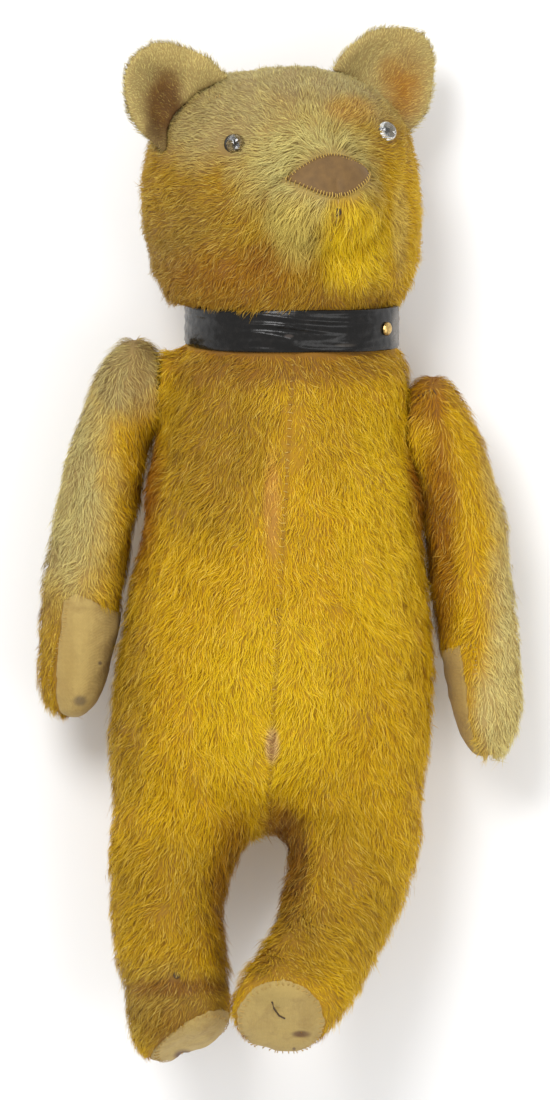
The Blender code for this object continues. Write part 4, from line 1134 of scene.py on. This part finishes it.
# %% Inside materials
wood_wool, tree, shader = new_material("wood_wool_fibres")
fibres = noise(tree, on_object(tree), 300.0, 5.0, Distortion=3.0)
straw = mixed(tree, fibres, (0.30, 0.19, 0.09), (0.74, 0.57, 0.34))
feed(shader, {"Base Color": straw, "Roughness": 0.9})
for name, node in frame["nodes"].items():
    if name.endswith("_stuffing"):
        coat(node, wood_wool)

# %% [markdown]
# ## Growing the pile
# Hair curves wouldn't be part of the exported model, so the pile is a mesh: each strand is a tapered blade of three
# triangles that leaves the cloth steeply and then lies over, combed the way the real one is. Their roots are spread
# evenly over the skin by area. A coverage function thins them where the bear is threadbare, and a length function
# makes the muzzle shaggy and the rubbed places short. Every blade gets a small patch of its own in the UV map, laid
# out by its place on the bear.

# %% Pile helpers
def triangles_of(piece):
    piece.data.calc_loop_triangles()
    corners = np.empty(len(piece.data.loop_triangles) * 3, np.int32)
    piece.data.loop_triangles.foreach_get("vertices", corners)
    return corners.reshape(-1, 3)


def unit(vectors):
    return vectors / np.maximum(np.linalg.norm(vectors, axis=1, keepdims=True), 1e-12)


def roots_on(piece, per_mm2, rng):
    """Places spread evenly over a piece by area, with the skin's normal at each."""
    points, normals, corners = measured(piece.data, "co"), measured(piece.data, "normal"), triangles_of(piece)
    a, b, c = (points[corners[:, i]] for i in range(3))
    area = np.linalg.norm(np.cross(b - a, c - a), axis=1) / 2
    reach = np.cumsum(area)
    count = int(reach[-1] * 1e6 * per_mm2)
    chosen = np.searchsorted(reach, (np.arange(count) + rng.random(count)) / count * reach[-1])
    chosen = np.minimum(chosen, len(corners) - 1)
    u, v = rng.random(count), rng.random(count)
    flip = u + v > 1
    u[flip], v[flip] = 1 - u[flip], 1 - v[flip]
    weights = np.stack([1 - u - v, u, v], axis=1)
    place = sum(weights[:, i, None] * points[corners[chosen, i]] for i in range(3))
    facing = unit(sum(weights[:, i, None] * normals[corners[chosen, i]] for i in range(3)))
    return place, facing


def by_place(points):
    """The order that puts neighbours on the bear next to each other in the UV map's square grid."""
    side = max(1, math.ceil(math.sqrt(len(points))))
    rows = np.argsort(points[:, 1], kind="stable")
    order = [row[np.argsort(points[row, 0], kind="stable")] for row in np.array_split(rows, side)]
    return np.concatenate(order), side


BLADE_WIDTH = 0.00030
CLEAR_OF_CLOTH = 0.0012


def grow_pile(name, skin, body, material, seed, per_mm2, comb, length, cover, bare=()):
    """Grows strands on a skin. bare are surfaces where nothing grows."""
    rng = np.random.default_rng(seed)
    place, facing = roots_on(skin, per_mm2, rng)
    kept = rng.random(len(place)) < cover(place, facing)
    for cloth in bare:
        kept &= [not keep or cloth.find_nearest(Vector(p), CLEAR_OF_CLOTH)[0] is None for p, keep in zip(place, kept)]
    place, facing = place[kept], facing[kept]
    order, grid = by_place(place)
    place, facing = place[order], facing[order]
    count = len(place)

    along = comb(place, facing)
    along = unit(along - facing * np.sum(along * facing, axis=1, keepdims=True))
    across = np.cross(facing, along)
    turn = 0.40 * lumps(place, 0.016, seed + 1) + 0.30 * lumps(place, 0.0055, seed + 2) + rng.normal(0, 0.20, count)
    along = along * np.cos(turn)[:, None] + across * np.sin(turn)[:, None]
    across = np.cross(facing, along)
    rise = np.radians(np.clip(rng.normal(34, 9, count) + 15 * lumps(place, 0.009, seed + 3), 8, 75))[:, None]
    settle = np.radians(np.clip(rng.normal(10, 9, count), -6, 40))[:, None]
    stray = np.where(rng.random(count) < 0.05, 1.4, 1.0)
    reach = (length(place, facing) * rng.uniform(0.65, 1.25, count) * stray)[:, None]
    root = place - facing * 0.0003
    middle = root + (along * np.cos(rise) + facing * np.sin(rise)) * reach * 0.45
    tip = middle + (along * np.cos(settle) + facing * np.sin(settle)) * reach * 0.55
    tip += across * (rng.normal(0, 0.10, count)[:, None] * reach)
    roll = rng.uniform(-0.7, 0.7, count)[:, None]
    broad = (across * np.cos(roll) + facing * np.sin(roll)) * (BLADE_WIDTH / 2)

    points = np.stack([root - broad, root + broad, middle - broad * 0.85, middle + broad * 0.85, tip], axis=1)
    first = 5 * np.arange(count)[:, None]
    corners = np.concatenate([first + [0, 3, 1], first + [0, 2, 3], first + [2, 4, 3]], axis=1).reshape(-1)
    mesh = bpy.data.meshes.new(name)
    mesh.vertices.add(5 * count)
    mesh.vertices.foreach_set("co", points.astype(np.float32).ravel())
    mesh.loops.add(len(corners))
    mesh.loops.foreach_set("vertex_index", corners.astype(np.int32))
    mesh.polygons.add(3 * count)
    mesh.polygons.foreach_set("loop_start", np.arange(0, len(corners), 3, dtype=np.int32))
    mesh.update(calc_edges=True)

    strand = np.repeat(rng.random(count), 5)
    tips = np.tile([0.0, 0.0, 0.6, 0.6, 1.0], count)
    for label, values in (("pile_tip", tips), ("strand", strand)):
        mesh.attributes.new(label, "FLOAT", "POINT").data.foreach_set("value", values.astype(np.float32))
    column, row = np.arange(count) % grid, np.arange(count) // grid
    cell = np.stack([column, row], axis=1)[:, None, :]
    inside = np.array([[0.15, 0.1], [0.85, 0.1], [0.15, 0.5], [0.85, 0.5], [0.5, 0.9]])
    uv = ((cell + inside) / grid).reshape(-1, 2)[corners]
    mesh.uv_layers.new(name="OFBake").data.foreach_set("uv", uv.astype(np.float32).ravel())
    leaning = unit(facing * 0.8 + np.cross(broad, along) / (BLADE_WIDTH / 2) * -0.35)
    mesh.normals_split_custom_set_from_vertices(np.repeat(leaning, 5, axis=0).tolist())

    dress(linked(name, mesh), body, material, "golden_plush")
    print(name, count, "strands", 3 * count, "triangles")


# %% [markdown]
# ## Pile of the body
# It is combed from the neck down and outward over the hips, and it meets at the front seam above the crotch. The
# front seam and the shiny places on the belly are worn nearly to the cloth.

# %% Body pile
def body_comb(points, normals):
    x, y = points[:, 0] - (SEAM_AT_ORIGIN + points[:, 1] * SEAM_LEAN), points[:, 1]
    legs = np.clip((-0.085 - y) / 0.05, 0, 1)
    above = np.clip(1 - np.abs(y + 0.07) / 0.06, 0, 1) * (np.abs(x) < 0.045)
    outward = 0.25 * x / 0.07 - 0.55 * above * np.sign(x)
    outward = outward * (1 - legs) + legs * 0.45 * np.sign(points[:, 0] + 0.012)
    return np.stack([outward + 0.35 * normals[:, 0], -np.ones(len(x)), -0.15 * np.ones(len(x))], axis=1)


BODY_RUBBED = (
    (spot(272, 520, 0.115), (0.007, 0.035, 0.05), 0.75),
    (spot(272, 745, 0.120), (0.004, 0.009, 0.05), 1.0),
    (spot(292, 440, 0.110), (0.008, 0.030, 0.05), 0.55),
    (spot(177, 974, 0.100), (0.0035, 0.0035, 0.05), 1.0),
    (spot(290, 372, 0.100), (0.050, 0.010, 0.05), 0.35),
    (spot(215, 420, 0.110), (0.030, 0.035, 0.05), 0.30),
)


def rubbed_away(points, places):
    left = np.ones(len(points))
    for centre, size, share in places:
        left *= 1 - share * near(points, centre, size)
    return left


def under_strap(points):
    """True where the strap lies on the plush."""
    own = seen_from(NECK_FRAME, points)
    return (np.abs(own[:, 2]) < STRAP_HALF + 0.0008) & (np.linalg.norm(own[:, :2], axis=1) < 0.060)


SEAT_RADIUS = 0.0225
SEAT_DEPTH = 0.012
SEAT_BACK = 0.046   # height under which a seat faces the floor


def behind_shoulder(points):
    """True on the back of the round seats that the arms turn on, where the pile is worn away."""
    seats = [joint for joint in frame["record"]["behaviour"]["joints"] if joint["name"].startswith("shoulder")]
    pressed = np.zeros(len(points), bool)
    for seat in seats:
        pivot = np.array(seat["pos_m"])
        near_axis = np.linalg.norm(points[:, 1:] - pivot[1:], axis=1) < SEAT_RADIUS
        pressed |= near_axis & (np.abs(points[:, 0] - pivot[0]) < SEAT_DEPTH) & (points[:, 2] < SEAT_BACK)
    return pressed


def body_cover(points, normals):
    seam = 1 - 0.5 * np.exp(-(seam_distance(points) / 0.0011) ** 2) * (points[:, 2] > 0.03)
    on_floor = np.where(points[:, 2] < 0.002, 0.25, 1.0)
    matted = np.clip(1.0 - 0.35 * np.maximum(lumps(points, 0.02, 51), 0), 0, 1)
    covered = under_strap(points) | behind_shoulder(points)
    return seam * on_floor * matted * rubbed_away(points, BODY_RUBBED) * ~covered


PAD_REACH = 0.012
foot_pads = [surface_of(pads[f"foot_pad_{side}"]) for side in SIDES]


def by_pads(points):
    """1 away from the foot pads and less close to them, where the pile is short and doesn't hang over the sole."""
    reach = np.ones(len(points))
    for i in np.flatnonzero(points[:, 1] < -0.150):
        for pad in foot_pads:
            distance = pad.find_nearest(Vector(points[i]), PAD_REACH)[3]
            if distance is not None:
                reach[i] = min(reach[i], max(distance / PAD_REACH, 0.25))
    return reach


def body_length(points, normals):
    short = rubbed_away(points, BODY_RUBBED) * by_pads(points)
    under = np.clip(points[:, 2] / 0.010, 0.25, 1)
    by_seam = 1 - 0.35 * np.exp(-(seam_distance(points) / 0.0030) ** 2) * (points[:, 2] > 0.03)
    by_seam *= 1 - 0.35 * ankle(points)
    return 0.0070 * (0.4 + 0.6 * short) * under * by_seam * (1 + 0.22 * lumps(points, 0.03, 52))


BODY_PARTS = {  # name: density and where it grows, to keep each piece within its size
    "body_pile_chest": (1.15, lambda p: (p[:, 2] > 0.045) & (p[:, 1] > -0.010)),
    "body_pile_belly": (1.15, lambda p: (p[:, 2] > 0.045) & (p[:, 1] <= -0.010)),
    "body_pile_back": (0.72, lambda p: p[:, 2] <= 0.045),
}
for number, (part, (density, here)) in enumerate(BODY_PARTS.items()):
    grow_pile(
        part, body_skin, "torso", body_pile, 100 + 10 * number, density, body_comb, body_length,
        lambda p, n, here=here: body_cover(p, n) * here(p), bare=foot_pads,
    )

# %% Arm pile
def arm_comb(side):
    outward = SIDES[side]
    return lambda points, normals: np.stack([
        np.where(normals[:, 0] * outward > 0, 0.28, -0.30) * outward, -np.ones(len(points)),
        np.full(len(points), -0.1)
    ], axis=1)


def arm_length(points, normals):
    return 0.0058 * (1 + 0.2 * lumps(points, 0.025, 62))


for side in SIDES:
    grow_pile(
        f"arm_pile_{side}", arm_skin[side], f"arm_{side}", arm_plush[side][0], 200 + int(SIDES[side]), 1.1,
        arm_comb(side), arm_length, lambda p, n: np.clip(1.0 - 0.3 * np.maximum(lumps(p, 0.018, 61), 0), 0, 1),
        bare=[surface_of(pads[f"paw_pad_{side}"])],
    )

# %% [markdown]
# ## Pile of the head
# It grows away from the nose in all directions, long and shaggy on the muzzle and the chin, short and felted on the
# crown. Round the eyes and the nose it is clipped.

# %% Head pile
EYE_CLEARED = 0.0070
HOLE_CLEARED = 0.0042


def head_comb(points, normals):
    away = unit(points - NOSE_TIP)
    own = in_head(points)
    muzzle = near(own, (0, -0.01, 0.06), (0.05, 0.045, 0.06))
    fall = -0.25 - 0.9 * muzzle
    return away + np.stack([np.zeros(len(points)), fall, np.zeros(len(points))], axis=1)


def head_length(points, normals):
    own = in_head(points)
    muzzle = near(own, (0, -0.012, 0.060), (0.048, 0.042, 0.05))
    crown = np.clip((own[:, 1] - 0.015) / 0.03, 0, 1)
    return (0.0052 + 0.0085 * muzzle - 0.0014 * crown) * (1 + 0.30 * lumps(points, 0.013, 72))


def head_cover(points, normals):
    cover = np.clip(1.0 - 0.3 * np.maximum(lumps(points, 0.017, 71), 0), 0, 1)
    for eye in eye_places.values():
        cover *= np.where(np.linalg.norm(points - eye, axis=1) < EYE_CLEARED, 0.05, 1.0)
    cover *= np.where(np.linalg.norm(points - np.array(hole), axis=1) < HOLE_CLEARED, 0.15, 1.0)
    own = in_head(points)
    front = own[:, 2] > 0.04
    half = lens(np.clip(own[:, 0] / NOSE_HALF[0], -1, 1)) + 0.0008
    nose_here = (np.abs(own[:, 1] - NOSE_HEIGHT) < half) & (np.abs(own[:, 0]) < NOSE_HALF[0] + 0.0005) & front
    mouth_here = (np.abs(own[:, 0]) < 0.0011) & (own[:, 1] < NOSE_HEIGHT) & (own[:, 1] > -0.030) & front
    return cover * ~nose_here * np.where(mouth_here, 0.15, 1.0) * ~under_strap(points)


grow_pile("head_pile", head_skin, "head", head_pile, 300, 1.2, head_comb, head_length, head_cover)

# %% Ear pile
for side, outward in SIDES.items():
    root = HEAD_FRAME @ Vector((outward * 0.040, 0.030, 0.005))

    def ear_comb(points, normals, root=np.array(root)):
        return unit(points - root)

    def ear_length(points, normals):
        inside = in_head(points + normals * 0.01)[:, 2] > in_head(points)[:, 2] + 0.004
        return np.where(inside, 0.0026, 0.0042)

    grow_pile(
        f"ear_pile_{side}", ear_skin[side], "head", ear_pile, 400 + int(outward), 1.3, ear_comb, ear_length,
        lambda p, n: np.ones(len(p)),
    )
